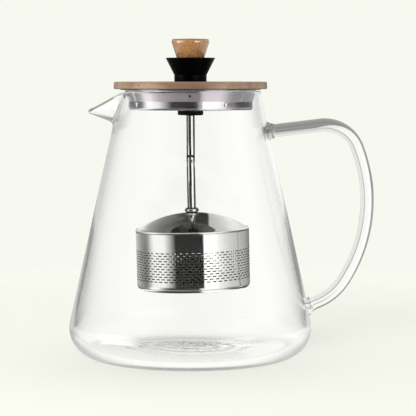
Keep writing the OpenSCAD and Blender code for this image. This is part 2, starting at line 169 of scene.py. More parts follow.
class Tree:
    """A node tree that is filled by add()."""

    def __init__(self, nodes_of):
        self.node_tree = nodes_of
        nodes_of.nodes.clear()

    @staticmethod
    def find(sockets, key):
        if isinstance(key, int):
            return sockets[key]
        for socket in sockets:
            if socket.identifier == key:
                return socket
        return sockets[key.replace("_", " ")]

    def feed(self, socket, value):
        if isinstance(value, Signal):
            self.node_tree.links.new(value.socket, socket)
        elif isinstance(value, tuple) and len(value) == 3 and socket.type == "RGBA":
            socket.default_value = (*value, 1.0)
        else:
            socket.default_value = value

    def add(self, kind, out, settings, *values, **named):
        """Adds a node; returns the signal of its output called out."""
        node = self.node_tree.nodes.new(kind)
        for key, setting in settings.items():
            setattr(node, key, setting)
        for index, value in enumerate(values):
            self.feed(node.inputs[index], value)
        for key, value in named.items():
            self.feed(self.find(node.inputs, key), value)
        if out is None:
            return node
        return Signal(self, self.find(node.outputs, out))

    def several(self, kind, *outs, **named):
        """Adds a node; returns the signals of several of its outputs."""
        node = self.add(kind, None, {}, **named)
        return [Signal(self, self.find(node.outputs, out)) for out in outs]

    def xyz(self, vector):
        """The three signals of a vector."""
        return self.several("ShaderNodeSeparateXYZ", "X", "Y", "Z", Vector=vector)

    def vector(self, operation, out, *values):
        return self.add("ShaderNodeVectorMath", out, {"operation": operation}, *values)

    def mixed(self, share, first, second):
        """Shader between two shaders."""
        return self.add("ShaderNodeMixShader", 0, {}, share, first, second)

    def place(self):
        """Object coordinates."""
        return self.add("ShaderNodeTexCoord", "Object", {})

    def stretched(self, x, y, z):
        """Object coordinates, stretched along each axis."""
        return self.add("ShaderNodeMapping", "Vector", {}, Vector=self.place(),
                        Scale=(x, y, z))

    def upward(self):
        """How far the surface looks up: 1 on a level top, -1 on an underside."""
        return self.xyz(self.add("ShaderNodeNewGeometry", "Normal", {}))[2]

    def facing(self):
        """0 where the surface looks at the eye, 1 at its outline."""
        return self.add("ShaderNodeLayerWeight", "Facing", {}, Blend=0.5)

    def noise(self, place, scale, detail=3.0, rough=0.5, **more):
        return self.add("ShaderNodeTexNoise", 0, {}, Vector=place, Scale=scale,
                        Detail=detail, Roughness=rough, **more)

    def ramp_of(self, signal, stops):
        """Colour ramp over a signal, from (place, colour) stops."""
        node = self.add("ShaderNodeValToRGB", None, {}, signal)
        elements = node.color_ramp.elements
        while len(elements) < len(stops):
            elements.new(0.5)
        for element, (place, colour) in zip(elements, stops):
            element.position, element.color = place, (*colour, 1.0)
        return Signal(self, node.outputs["Color"])

    def bump(self, height, strength, distance):
        return self.add("ShaderNodeBump", "Normal", {}, Strength=strength,
                        Distance=distance, Height=height)


def new_finish(name):
    finish = bpy.data.materials.new(name)
    finish.use_nodes = True
    return finish, Tree(finish.node_tree)


def surface(tree, shader):
    tree.add("ShaderNodeOutputMaterial", None, {}, Surface=shader)


def shaded(colour, share):
    """A colour, darkened evenly."""
    return tuple(part * share for part in colour)


print("a tree adds", sorted(name for name in vars(Tree) if not name.startswith("_")))

# %% [markdown]
# ## Glass
# Clear glass bends light, so its look comes from its shape and from what stands
# around it. The refractive index is set below that of real glass, because thin
# blown glass then shows clear instead of full of mirrored bands. Three short cuts
# help. Light for shadows passes straight through, or the pot would throw a black
# shadow over its own inside. Light that is caught between the two faces ends in
# an even glow, where tracing it on gives only noise. A tint of the outer skin
# paints the grey lines that thick glass shows at its edges: painted shade and
# painted reflection, in place of the dark that the glass bends and mirrors.

# %% Glass
BACKDROP, INSIDE = (0.930, 0.938, 0.871), (0.988, 0.990, 0.945)
GLASS_INDEX, TRAPPED_GLOW, CLEAR = 1.34, 0.92, (1.0, 1.0, 1.0)
COOL = (1.0, 1.013, 1.026)


def glass(name, painted_tint, wave):
    """The tint function gives the outer skin's colour; its grey lines are painted shade."""
    finish, tree = new_finish(name)
    normal, back = tree.several("ShaderNodeNewGeometry", "Normal", "Backfacing")
    shadow, spread, mirrored = tree.several(
        "ShaderNodeLightPath", "Is Shadow Ray", "Is Diffuse Ray", "Glossy Depth")
    waves = tree.noise(tree.stretched(1.0, 1.0, 0.6), 45.0, 2.0)
    smudge = tree.noise(tree.place(), 70.0, 5.0).ramp(0.55, 0.90)
    body = tree.add("ShaderNodeBsdfPrincipled", 0, {}, IOR=GLASS_INDEX, Transmission_Weight=1.0,
                    Base_Color=back.blend(painted_tint(tree, normal), CLEAR),
                    Roughness=smudge * 0.004, Normal=tree.bump(waves, wave, 0.0006))
    glow = tree.add("ShaderNodeEmission", 0, {}, Color=INSIDE, Strength=TRAPPED_GLOW)
    passed = tree.add("ShaderNodeBsdfTransparent", 0, {}, Color=(0.996, 0.997, 0.996))
    caught = mirrored.ramp(2.2, 2.8) * back
    surface(tree, tree.mixed(shadow.either(spread), tree.mixed(caught, body, glow), passed))
    return finish


def cool(level):
    """A grey with a trace of blue, as glass has."""
    return tuple(min(level * part, 1.0) for part in COOL)


def greys(tree, signal, levels):
    """Grey levels laid out over a signal, from (place, level) pairs."""
    return tree.ramp_of(signal, [(at, shaded((0.995, 0.998, 1.0), v)) for at, v in levels])


print("glass with index", GLASS_INDEX)

# %% [markdown]
# The pot's tint is a stack of masks of painted shade: dark lines painted into the
# colour of the outer skin, where the real glass bends and mirrors dark
# surroundings. Each names one part of the real pot that shows dark: the folds in
# the floor, the heel, where the wall turns under, the ring that it stands on, the
# neck and the round rim, and the spout, which is dark along its drawn edge, its
# keel and its outline.

# %% Tint of the pot
PAINTED_WALL_GREYS = [(0.0, 1.0), (0.50, 1.0), (0.70, 0.97), (0.85, 0.92), (0.95, 0.72), (1.0, 0.35)]


def painted_floor_streaks(tree, x, y, facing):
    """Mask of painted dark streaks along the folds in the middle of the floor."""
    folds = tree.noise(tree.stretched(60.0, 22.0, 1.0), 1.0, 2.0, Distortion=1.6) - 0.5
    middle = 1 - ((x * x + y * y) ** 0.5).ramp(0.022, 0.036)
    streaks = (1 - abs(folds).ramp(0.010, 0.035)) * middle
    return streaks * (0.12 + facing.ramp(0.62, 0.90) * 0.88)


def painted_spout_dark(x, z, up, facing):
    """Mask of painted shade along the spout's edge, its keel and its outline."""
    fall = (lip.y - tip.y) / (tip.x - lip.x)
    edge_z = (x + tip.x * MM) * fall + (tip.y + SPOUT_LIP) * MM
    edge = 1 - (edge_z - z).ramp(0.0015, 0.0022)
    keel = facing.ramp(0.34, 0.50) * (1 - up.ramp(-0.45, -0.25))
    return edge.either(keel).either(facing.ramp(0.45, 0.75))


def painted_pot_shade(tree, normal):
    """Painted shade: a thin grey outline, the floor kept clear, then the darker parts in turn.
    """
    x, y, z = tree.xyz(tree.place())
    up, facing = tree.xyz(normal)[2], tree.facing()
    over = z - POT_H * MM
    spout = 1 - x.ramp(-0.047, -0.043)
    floor = up.ramp(0.35, 0.80) * (1 - z.ramp(0.020, 0.030))
    painted_folds = floor * painted_floor_streaks(tree, x, y, facing)
    under = facing.ramp(0.42, 0.78) * (1 - up.ramp(-0.45, -0.15))
    under = under * z.within(0.0015, 0.0035, 0.012, 0.020)
    foot = (1 - up.ramp(-0.60, -0.20)) * z.within(0.0001, 0.0005, 0.0028, 0.0046)
    heel = facing.ramp(0.60, 0.86) * (1 - z.ramp(0.014, 0.034)) * (1 - up.ramp(0.0, 0.1))
    neck = facing.ramp(0.40, 0.60) * over.ramp(-0.0245, -0.0215) * (1 - spout) * 0.8
    rim = abs(up).ramp(0.28, 0.60) * over.ramp(-0.0285, -0.0185) * (1 - spout) * 0.85
    drawn = painted_spout_dark(x, z, up, facing) * spout * over.ramp(-0.0275, -0.0235)
    tint = greys(tree, facing, PAINTED_WALL_GREYS)
    for mask, level in ((floor, 1.0), (painted_folds, 0.28), (under, 0.42), (foot.either(heel), 0.15),
                        (neck, 0.66), (rim, 0.30), (drawn, 0.12)):
        tint = mask.blend(tint, cool(level))
    return tint


CLEAR_GLASS = glass("blown clear glass", painted_pot_shade, 0.06)
print("made", CLEAR_GLASS.name)

# %% [markdown]
# A solid glass rod works as a lens: it shows a dark line inside its outer edge
# and is clear in the middle. The signal `across` runs over the rod from its outer
# side to its inner side, seen from a point in the middle of the grip, so one row
# of greys serves the whole bend. The level arm at the top mirrors a dark room.
# These greys are painted into the tint of the rod's skin: the dark lines are
# painted shade, and the room is a painted reflection.

# %% Tint of the handle
GRIP_MIDDLE = (0.066, 0.0, 0.095)
PAINTED_ROD_GREYS = [(0.0, 0.85), (0.06, 0.70), (0.27, 0.62), (0.29, 0.24), (0.345, 0.24), (0.37, 1.0)]
PAINTED_ROOM_GREYS = [(0.30, 0.13), (0.45, 0.085), (0.62, 0.11), (0.70, 0.07), (0.90, 0.10), (1.0, 0.16)]


def painted_handle_shade(tree, normal):
    """Painted shade across the rod and along the low arm, and a painted reflection of the room
    in the level arm.
    """
    place = tree.place()
    x, _, z = tree.xyz(place)
    away = tree.vector("NORMALIZE", 0, tree.vector("SUBTRACT", 0, place, GRIP_MIDDLE))
    turned = tree.vector("DOT_PRODUCT", "Value", normal, away)
    across = turned * 0.5 + 0.5
    tint = greys(tree, across, PAINTED_ROD_GREYS)
    line = (1 - abs(across - 0.56).ramp(0.03, 0.07)) * (1 - z.ramp(0.030, 0.046))
    tint = line.blend(tint, (0.30, 0.30, 0.305))
    level = z.ramp(0.100, 0.125) * (1 - x.ramp(0.072, 0.100))
    inward = across - 0.81 + level * 0.44
    tint = ((inward + 0.17).ramp(0.0, 0.03) * level * 0.8).blend(tint, (0.42, 0.42, 0.425))
    aside = tree.facing() - 1 + (1.001 - turned * turned).math("SQRT")
    # Painted reflection of a dark room, laid on the level arm's outer side.
    room = greys(tree, across, PAINTED_ROOM_GREYS)
    return (inward.ramp(0.0, 0.03) * aside.ramp(-0.36, -0.16)).blend(tint, room)


HANDLE_GLASS = glass("drawn glass rod", painted_handle_shade, 0.0)
print("made", HANDLE_GLASS.name)

# %% [markdown]
# ## Wood
# The lid and the knob are oiled wood. Long fibres come from noise that is
# stretched along the grain, broad stripes from a second layer and short dark
# pores from a third. An image of wood would be the other way, but noise on Object
# coordinates runs through the piece like real grain, so the end grain fits. The
# lowest millimetre lies in the shade of the next piece, and a thin coat shines.

# %% Wood
COAT_INDEX = 1.75


def wood(name, pale, mid, dark, along, across, coat, shine, low, figure=None):
    """Grain along stretched axes, shaded above the height low; figure(tree) adds marks."""
    finish, tree = new_finish(name)
    fibre = tree.noise(tree.stretched(*along), 1.0, 6.0, 0.65)
    stripes = tree.noise(tree.stretched(*across), 1.0, 2.0, 0.4)
    pores = tree.noise(tree.stretched(along[0] * 3, along[1] * 2.4, along[2] * 2.4),
                       1.0, 2.0, 0.5).ramp(0.60, 0.72)
    colour = (fibre * 0.65 + stripes * 0.50).ramp(0.40, 0.74).blend(pale, mid)
    colour = (stripes.ramp(0.52, 0.72) * 0.65).blend(colour, dark)
    colour = (pores * 0.55).blend(colour, shaded(dark, 0.45))
    if figure:
        colour = figure(tree).blend(colour, dark)
    shade = 1 - (tree.xyz(tree.place())[2] - low * MM).ramp(0.0003, 0.0008)
    colour = (shade * 0.7).blend(colour, shaded(dark, 0.5))
    surface(tree, tree.add("ShaderNodeBsdfPrincipled", 0, {}, Base_Color=colour,
                           Specular_IOR_Level=shine, Coat_Roughness=0.16, Coat_IOR=COAT_INDEX,
                           Roughness=0.42 + fibre * 0.16 - pores * 0.05,
                           Coat_Weight=coat * (1 - tree.upward().ramp(0.35, 0.75)),
                           Normal=tree.bump(fibre - pores * 0.6, 0.12, 0.0004)))
    return finish


def knob_figure(tree):
    """Short flecks, a small eye in the grain and the upward faces darker."""
    eye_z, eye_r = knob_low.z * MM + 0.0042, 0.0034
    x, _, z = tree.xyz(tree.place())
    flecks = tree.noise(tree.stretched(900.0, 900.0, 430.0), 1.0, 2.0, 0.6).ramp(0.48, 0.66)
    wander = tree.noise(tree.stretched(300.0, 300.0, 300.0), 1.0, 2.0, 0.5) * 0.0016
    across, along = x - 0.0002, (z - eye_z) * 0.85
    from_eye = (across * across + along * along) ** 0.5 + wander
    ring = (1 - abs(from_eye - eye_r).ramp(0.0002, 0.0007)) * 0.55
    return (flecks * 0.5).either(ring).either(tree.upward().ramp(0.35, 0.75) * 0.9)


LID_WOOD = wood("oiled wood of the lid", (0.460, 0.316, 0.227), (0.328, 0.218, 0.152),
                (0.165, 0.092, 0.052), (18.0, 330.0, 330.0), (3.0, 75.0, 75.0), 0.10, 0.15,
                disc_low.z)
KNOB_WOOD = wood("oiled wood of the knob", (0.700, 0.335, 0.130), (0.520, 0.240, 0.090),
                 (0.200, 0.092, 0.036), (330.0, 330.0, 60.0), (90.0, 90.0, 6.0), 0.9, 0.12,
                 knob_low.z, knob_figure)
print("wood:", LID_WOOD.name, "and", KNOB_WOOD.name)

# %% [markdown]
# ## Metal
# Steel is a mirror with a grain. The pressed sheet shows fine rings from its
# turning, the strainer is a little duller, and the rod is bright chrome. Ring
# grain is noise that changes quickly along Z and hardly around the axis. Some
# parts of a real mirror show only dark: the sides of a thin rod, the ends of the
# pan's skirt, the flange in the shade of the disc and the inside of the cup. A
# mask paints them darker here: painted reflection of the dark, and painted shade.
# The same mask darkens the pan's lowest edge.

# %% Metal


def metal(name, colour, rough, grain, dull, dim=None, matt=0.25):
    """dim(tree) gives a mask of the parts painted darker: painted shade, painted reflection of
    the dark, and the pan's lowest edge.
    """
    finish, tree = new_finish(name)
    rings = tree.noise(tree.stretched(12.0, 12.0, grain), 1.0, 4.0, 0.6)
    worn = tree.noise(tree.place(), 60.0, 4.0).ramp(0.35, 0.75)
    shade = (worn * 0.5 + rings * 0.3).blend(colour, shaded(colour, dull))
    gloss = rough + rings * 0.03 + worn * 0.03
    if dim:
        dark = dim(tree)
        shade = dark.blend(shade, shaded(colour, 0.12))
        gloss = gloss + dark * matt
    surface(tree, tree.add("ShaderNodeBsdfPrincipled", 0, {}, Base_Color=shade,
                           Metallic=1.0, Roughness=gloss,
                           Normal=tree.bump(rings, 0.012, 0.0001)))
    return finish


def pan_dark(tree):
    """Mask of the pan's lowest edge, of painted shade on the flange under the disc, and of
    painted reflection of the dark at the skirt's two ends.
    """
    z = tree.xyz(tree.place())[2]
    # Painted reflection: the skirt's two ends are darkened where they would mirror a dark room.
    ends = tree.facing().ramp(0.26, 0.40) * (1 - abs(tree.upward()).ramp(0.05, 0.12)) * 0.8
    darker_low_edge = 1 - (z - pan_low.z * MM).ramp(0.0002, 0.0006)
    # Painted shade on the flange where it lies under the disc.
    flange = (z - pan_high.z * MM).ramp(-0.0009, -0.0006) * 0.85
    return ends.either(darker_low_edge).either(flange)


def flanks(tree):
    """Mask of the sides of a thin rod, darkened as a painted reflection of the dark ends of the
    room.
    """
    return tree.facing().ramp(0.15, 0.29)


def inside(tree):
    """Mask stored on the cup's faces: 1 on the inner side and the slots' edges, which get
    painted shade.
    """
    return tree.add("ShaderNodeAttribute", "Fac", {"attribute_name": "inside"})


STEEL, PAN_SHEET = (0.82, 0.82, 0.81), (0.86, 0.838, 0.86)
PAN_STEEL = metal("pressed steel of the pan", PAN_SHEET, 0.05, 900.0, 0.90, pan_dark, 0.0)
STRAINER_STEEL = metal("polished strainer steel", STEEL, 0.03, 700.0, 0.90)
CUP_STEEL = metal("polished cup steel", STEEL, 0.04, 700.0, 0.90, inside)
CHROME = metal("chromed rod", STEEL, 0.03, 500.0, 0.94, flanks)
PIN_STEEL = metal("plain steel of pin and nut", (0.52, 0.52, 0.50), 0.24, 800.0, 0.8)
BRASS = metal("turned brass insert", (0.62, 0.44, 0.18), 0.22, 900.0, 0.8)
print("finishes so far:", len(bpy.data.materials))

# %% [markdown]
# ## Plastic and rubber
# The socket and the nut are moulded from black plastic, and the seals are grey
# silicone. Both have a fine skin and a few scuffs, which are paler and duller.

# %% Plastic and rubber


def moulded(name, colour, rough, scale, gloss):
    finish, tree = new_finish(name)
    skin = tree.noise(tree.place(), scale, 3.0)
    scuff = tree.noise(tree.stretched(1.0, 1.0, 3.0), 150.0, 5.0).ramp(0.55, 0.80)
    shade = (scuff * 0.6).blend(colour, tuple(part * 1.8 + 0.0005 for part in colour))
    surface(tree, tree.add("ShaderNodeBsdfPrincipled", 0, {}, Base_Color=shade,
                           Specular_IOR_Level=gloss,
                           Roughness=rough + skin * 0.12 + scuff * 0.08,
                           Normal=tree.bump(skin, 0.10, 0.0002)))
    return finish


BLACK = moulded("black moulded plastic", (0.0008, 0.0008, 0.0008), 0.30, 1400.0, 0.03)
RUBBER = moulded("grey silicone", (0.060, 0.060, 0.058), 0.48, 900.0, 0.4)
print("finishes:", len(bpy.data.materials))

# %% [markdown]
# ## Making turned pieces
# Most pieces of this pot are turned: a closed outline goes round the axis. The
# outline is a list of corners, and a third number rounds a corner, because no
# real edge is sharp and an edge without a round catches no light.

# %% Outlines and turning
COARSE, FINE = 96, 144


def arc(centre, radius, start, end, steps):
    """Points on an arc between two angles in degrees."""
    turns = [math.radians(start + (end - start) * i / steps) for i in range(steps + 1)]
    return [(centre[0] + radius * math.cos(t), centre[1] + radius * math.sin(t))
            for t in turns]


def rounded(corners, steps=5):
    """Closed outline with its corners (r, z, radius) rounded."""
    points = []
    for i, corner in enumerate(corners):
        here = Vector(corner[:2])
        if len(corner) < 3:
            points.append(tuple(here))
            continue
        back = (Vector(corners[i - 1][:2]) - here).normalized()
        onward = (Vector(corners[(i + 1) % len(corners)][:2]) - here).normalized()
        half = back.angle(onward) / 2
        centre = here + (back + onward).normalized() * (corner[2] / math.sin(half))
        first = here + back * (corner[2] / math.tan(half)) - centre
        last = here + onward * (corner[2] / math.tan(half)) - centre
        a, b = math.atan2(first.y, first.x), math.atan2(last.y, last.x)
        turn = (b - a + math.pi) % (2 * math.pi) - math.pi
        points += arc(centre, corner[2], math.degrees(a), math.degrees(a + turn), steps)
    return points


def revolve(outline, segments=COARSE):
    """Turns a closed outline about Z; points on the axis become poles."""
    points, rings = [], []
    for r, z in outline:
        count = 1 if r < 1e-6 else segments
        rings.append([len(points) + i for i in range(count)])
        for i in range(count):
            turn = 2 * math.pi * i / segments
            points.append((r * math.cos(turn), r * math.sin(turn), z))
    return points, strip(rings, rings[1:] + rings[:1])


def strip(lower, upper):
    """Faces between pairs of rings; a ring of one point makes a fan."""
    faces = []
    for a, b in zip(lower, upper):
        count = max(len(a), len(b))
        if count == 1:
            continue
        for i in range(count):
            j = (i + 1) % count
            corners = [a[i % len(a)], a[j % len(a)], b[j % len(b)], b[i % len(b)]]
            faces.append(list(dict.fromkeys(corners)))
    return faces


print("turned with", COARSE, "or", FINE, "steps")

# %% [markdown]
# Every piece ends the same way: its mesh is cleaned, its faces are turned
# outwards, it gets its finish and its smooth shading, and it takes its node's
# place. So that is one pair of functions, and each piece below is one outline.

# %% Forms and their places


def form(name, points, faces, place=None):
    """A mesh object made from points in millimetres."""
    mesh = bpy.data.meshes.new(name)
    mesh.from_pydata([Vector(p) * MM for p in points], [], faces)
    shape = bmesh.new()
    shape.from_mesh(mesh)
    bmesh.ops.remove_doubles(shape, verts=shape.verts, dist=1e-7)
    bmesh.ops.recalc_face_normals(shape, faces=shape.faces)
    shape.to_mesh(mesh)
    shape.free()
    if place is not None:
        mesh.transform(place)
    made = bpy.data.objects.new(name, mesh)
    bpy.context.scene.collection.objects.link(made)
    return made


def settle(made, body, finish, nodes, sharp=35):
    """Gives a form its finish and shading, and puts it in its node's place."""
    made.data.materials.clear()
    made.data.materials.append(finish)
    made.data.shade_smooth()
    made.data.set_sharp_from_angle(angle=math.radians(sharp))
    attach(made, body)
    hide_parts(*nodes)
    print(made.name, len(made.data.polygons), "faces")
    return made


# %% [markdown]
# Holes, slots and flats are cut with tools, as on a mill. A tool is a plain form
# that a Boolean modifier takes away, keeps or joins, and then it is removed.

# %% Cutting tools


def applied(made):
    """Makes a form's modifiers part of its mesh."""
    bpy.context.view_layer.update()
    graph = bpy.context.evaluated_depsgraph_get()
    made.data = bpy.data.meshes.new_from_object(made.evaluated_get(graph))
    made.modifiers.clear()
    return made


def worked(made, tools):
    """Cuts, crosses or joins a form with (operation, tool) pairs."""
    for operation, tool in tools:
        step = made.modifiers.new(operation.lower(), "BOOLEAN")
        step.operation, step.object, step.solver = operation, tool, "EXACT"
    applied(made)
    for _, tool in tools:
        bpy.data.objects.remove(tool)
    return made


def block(low, high, place=None):
    """A box used as a cutting tool."""
    corners = [(x, y, z) for x in (low[0], high[0]) for y in (low[1], high[1])
               for z in (low[2], high[2])]
    faces = [(0, 1, 3, 2), (4, 6, 7, 5), (0, 4, 5, 1), (2, 3, 7, 6), (0, 2, 6, 4),
             (1, 5, 7, 3)]
    return form("tool", corners, faces, place)


def plate(outline, low_y, high_y, place=None):
    """A flat outline (x, z) thickened along Y."""
    count = len(outline)
    points = [(x, y, z) for y in (low_y, high_y) for x, z in outline]
    faces = [list(range(count)), list(range(count, 2 * count))]
    faces += [(i, (i + 1) % count, count + (i + 1) % count, count + i)
              for i in range(count)]
    return form("tool", points, faces, place)


print("tools: block and plate")

# %% [markdown]
# ## The pot's glass
# The pot is blown: a base, a round heel, a straight sloping wall and a short
# neck. The spout is pulled from the hot rim. One way to make that is to join two
# solids. Here each point of the outer face is found on a blend of two distances,
# to the wall and to a round-nosed cone, so the spout flows out of the wall as
# pulled glass does.

# %% Outer form of the pot
NECK_Z = POT_H - NECK_H
heel_c = Vector((BELLY_R - HEEL_R, HEEL_R))
to_neck = Vector((NECK_R, NECK_Z)) - heel_c
WALL_TURN = math.atan2(to_neck.y, to_neck.x) - math.acos(HEEL_R / to_neck.length)
WALL_SLOPE = math.tan(WALL_TURN)


def plain_wall(z):
    """Radius of the straight sloping wall."""
    return NECK_R + (NECK_Z - z) * WALL_SLOPE


root = Vector((plain_wall(POT_H - SPOUT_ROOT), POT_H - SPOUT_ROOT))
under = math.atan2(root.y - tip.y, tip.x - root.x)
SPOUT_EDGE = math.atan2(lip.y - tip.y, tip.x - lip.x)
opening = SPOUT_EDGE - under
flank = math.cos(math.atan2(SPOUT_HALF_W, (tip - lip).length))
SPOUT_HALF = math.atan((1 / flank - math.cos(opening)) / math.sin(opening))
SPOUT_TILT = SPOUT_HALF + under
NOSE_TURN = SPOUT_ROUND * (1 - math.sin(SPOUT_HALF))
NOSE_LEAD = SPOUT_ROUND / math.sin(SPOUT_HALF) - SPOUT_ROUND
SPOUT_SECTOR, SPOUT_BLEND, NECK_BLEND, RIM_BLEND = math.radians(40), 2.6, 2.0, 3.0


def soft_least(a, b, reach):
    """The lesser of two values, rounded where they are close."""
    near = max(reach - abs(a - b), 0.0) / reach
    return min(a, b) - near * near * reach / 4


def wall_radius(z):
    """Radius of the plain pot above its heel."""
    neck = NECK_R + (NECK_Z - z) * (NECK_R - MOUTH_R) / NECK_H
    return -soft_least(-plain_wall(z), -neck, NECK_BLEND)


def spout_distance(x, y, z):
    """Distance outside the spout's round-nosed cone."""
    inward = Vector((tip.x - x, y, z - tip.y))
    along = inward.x * math.cos(SPOUT_TILT) + inward.z * math.sin(SPOUT_TILT)
    off = math.sqrt(max(inward.length_squared - along * along, 0.0))
    if along < NOSE_TURN:
        return math.hypot(along - SPOUT_ROUND, off) - SPOUT_ROUND
    return (off - (along + NOSE_LEAD) * math.tan(SPOUT_HALF)) * math.cos(SPOUT_HALF)


def halved(is_inside, low, high, steps=24):
    """Where a test turns from true to false between two values."""
    for _ in range(steps):
        middle = (low + high) / 2
        low, high = (middle, high) if is_inside(middle) else (low, middle)
    return (low + high) / 2


def outer_radius(turn, z):
    """Radius of the outer face at a turn from the spout and a height."""
    plain = wall_radius(z)
    if abs(turn) > SPOUT_SECTOR:
        return plain

    def outside(r):
        cone = spout_distance(r * math.cos(turn), r * math.sin(turn), z)
        return soft_least((r - plain) * math.cos(WALL_TURN), cone, SPOUT_BLEND)

    far = SPOUT_REACH + 4.0
    while far > plain and outside(far) > 0:
        far -= 1.0
    return max(halved(lambda r: outside(r) < 0, far, far + 1.0), plain - 0.2)


def rim_height(turn):
    """Height of the rim, which dips along the spout's edges."""
    if abs(turn) > SPOUT_SECTOR:
        return POT_H

    def over(z):
        reach = outer_radius(turn, z) * math.cos(turn)
        edge = (tip.x - reach) * math.sin(SPOUT_EDGE) + SPOUT_LIP
        return z - tip.y - edge / math.cos(SPOUT_EDGE)

    low, high = tip.y - 4, POT_H + 8
    if over(high) < 0:
        return POT_H
    return soft_least(POT_H, halved(lambda z: over(z) < 0, low, high), RIM_BLEND)


print(f"spout tilts {math.degrees(SPOUT_TILT):.1f} degrees, tip {rim_height(0):.1f} high")

# %% [markdown]
# The grid has one column for each direction, closer together at the spout. A
# column's outer points run from the middle of the base up to the rim. The pontil,
# the iron rod that holds hot glass, leaves a swell with a swirl in the underside
# of the base. The swirl is two waves that cross, one of them wound round the axis.
# It is modelled in the mesh, not in the finish, so the shape itself has it too.

# %% Outer columns of the pot
SPOUT_COLUMNS, ROUND_COLUMNS, UPPER_ROWS = 100, 180, 34
UPPER_Z, SWELL_R, SWELL_H = 124.0, 42.0, 0.78
spread = math.radians(34)
turns = [2 * i / SPOUT_COLUMNS - 1 for i in range(SPOUT_COLUMNS)]
turns = [spread * (0.35 * t + 0.65 * t ** 3) for t in turns]
turns += [spread + (2 * math.pi - 2 * spread) * i / ROUND_COLUMNS
          for i in range(ROUND_COLUMNS)]
lower_rows = [(1.5 * i, 0.0) for i in range(1, 29)] + [(48, 0.0)]
lower_rows += arc(heel_c, HEEL_R, -90, math.degrees(WALL_TURN), 16)
lower_rows += [(wall_radius(z), z) for z in (34, 46, 58, 70, 82, 94, 104, 114)]


def relief(r, turn):
    """Swirl in the underside of the base, left by the pontil."""
    swirl = math.sin(r * 0.62 + 1.8 * math.sin(2 * turn + 0.7) + turn)
    swirl += 0.6 * math.sin(r * 1.1 - 3 * turn + 1.1)
    depth = (0.28 + 0.19 * math.sin(turn)) * min(r / 8, 1.0)
    return max(1 - (r / SWELL_R) ** 4, 0.0) * (SWELL_H + depth * swirl)


def outer_column(turn):
    """Outer points (r, z) of one column, from the base to the rim."""
    signed = (turn + math.pi) % (2 * math.pi) - math.pi
    top = rim_height(signed) - GLASS_T / 2
    heights = [UPPER_Z + (top - UPPER_Z) * (i / UPPER_ROWS) ** 0.85
               for i in range(UPPER_ROWS + 1)]
    lower = [(r, relief(r, turn) if z < 0.01 else z) for r, z in lower_rows]
    return lower + [(outer_radius(signed, z), z) for z in heights]


def spin(turn, r, z):
    """Point at a turn from the spout, which looks towards -X."""
    return Vector((-r * math.cos(turn), -r * math.sin(turn), z))


print(len(turns), "columns of", len(outer_column(0)), "outer points")

# %% [markdown]
# The inner face is the outer one, set in along its normals by the thickness of
# the glass. The base is thick, the wall thin and the spout thinner still, and the
# glass is a little uneven, because it flowed. A round rim joins the two faces.

# %% Mesh of the pot
RIM_STEPS = 6


def thickness(r, z, turn):
    """Glass thickness: thick base, thin wall, uneven where it was held."""
    share = min(max((HEEL_R - z) / HEEL_R, 0.0), 1.0)
    base = GLASS_T + (BASE_T - GLASS_T) * share * share * (3 - 2 * share)
    drawn = min(max((r - wall_radius(z)) / 8.0, 0.0), 1.0) if z > UPPER_Z else 0.0
    base -= (GLASS_T - SPOUT_T) * drawn
    flow = 0.10 * math.sin(2 * turn + z * 0.05) + 0.06 * math.sin(3 * turn - z * 0.11)
    if r < SWELL_R and z < 2:
        base += 0.7 * (1 - (r / SWELL_R) ** 2) - 0.1 * relief(r, turn)
    return base + flow * (1 - share)


def pot_grid():
    """Points and faces of the closed glass shell."""
    flat = [outer_column(t) for t in turns]
    columns = [[spin(t, r, z) for r, z in column] for t, column in zip(turns, flat)]
    count, rows = len(columns), len(columns[0])
    inner, rims = [], []
    for i, column in enumerate(columns):
        before, after = columns[i - 1], columns[(i + 1) % count]
        inside = []
        for k in range(rows):
            up = column[min(k + 1, rows - 1)] - column[max(k - 1, 0)]
            normal = (after[k] - before[k]).cross(up).normalized()
            inside.append(column[k] - normal * thickness(*flat[i][k], turns[i]))
        inner.append(inside)
        outer_top, inner_top = column[-1], inside[-1]
        middle = (outer_top + inner_top) / 2
        across = outer_top - middle
        rise = (column[-1] - column[-2]).normalized() * across.length
        bows = [math.pi * s / RIM_STEPS for s in range(1, RIM_STEPS)]
        rims.append([middle + across * math.cos(a) + rise * math.sin(a) for a in bows])
    hub = relief(0, 0)
    points = [Vector((0, 0, hub)), Vector((0, 0, hub + thickness(0, hub, 0)))]
    rings = [[0]]
    for level in [*zip(*columns), *zip(*rims), *reversed(list(zip(*inner)))]:
        rings.append([len(points) + i for i in range(count)])
        points += level
    rings.append([1])
    return points, strip(rings[:-1], rings[1:])


settle(form("pot_glass", *pot_grid()), "pot", CLEAR_GLASS,
       ["glass_body"], sharp=70)

# %% [markdown]
# ## The glass handle
# A rod of glass is bent hot and welded to the wall at both ends. It is swept as
# rings along a straight arm, three bends and a straight end. The ends flare into
# the wall, where the melted glass has run.

# %% Handle
HANDLE_R, WELD_R, WELD_LEN, WELD_STEPS = 4.0, 5.8, 5.0, 8
HANDLE_DROP, ARM_LEN, ARM_TURN = 24.4, 31.0, math.radians(6.9)
HANDLE_SIDES, SINK, SUNK_R, BEND_STEP = 40, 1.2, 6.1, 3
BENDS = [(20.9, 75.0), (88.0, 55.0), (33.6, 36.0)]


def ahead(place, run):
    """A station (x, z, heading) moved straight on."""
    return (place[0] + run * math.cos(place[2]), place[1] + run * math.sin(place[2]),
            place[2])


def bent(place, radius, turn):
    """A station moved round a bend."""
    x, z, heading = place
    return (x + radius * (math.sin(heading) - math.sin(heading - turn)),
            z + radius * (math.cos(heading - turn) - math.cos(heading)),
            heading - turn)


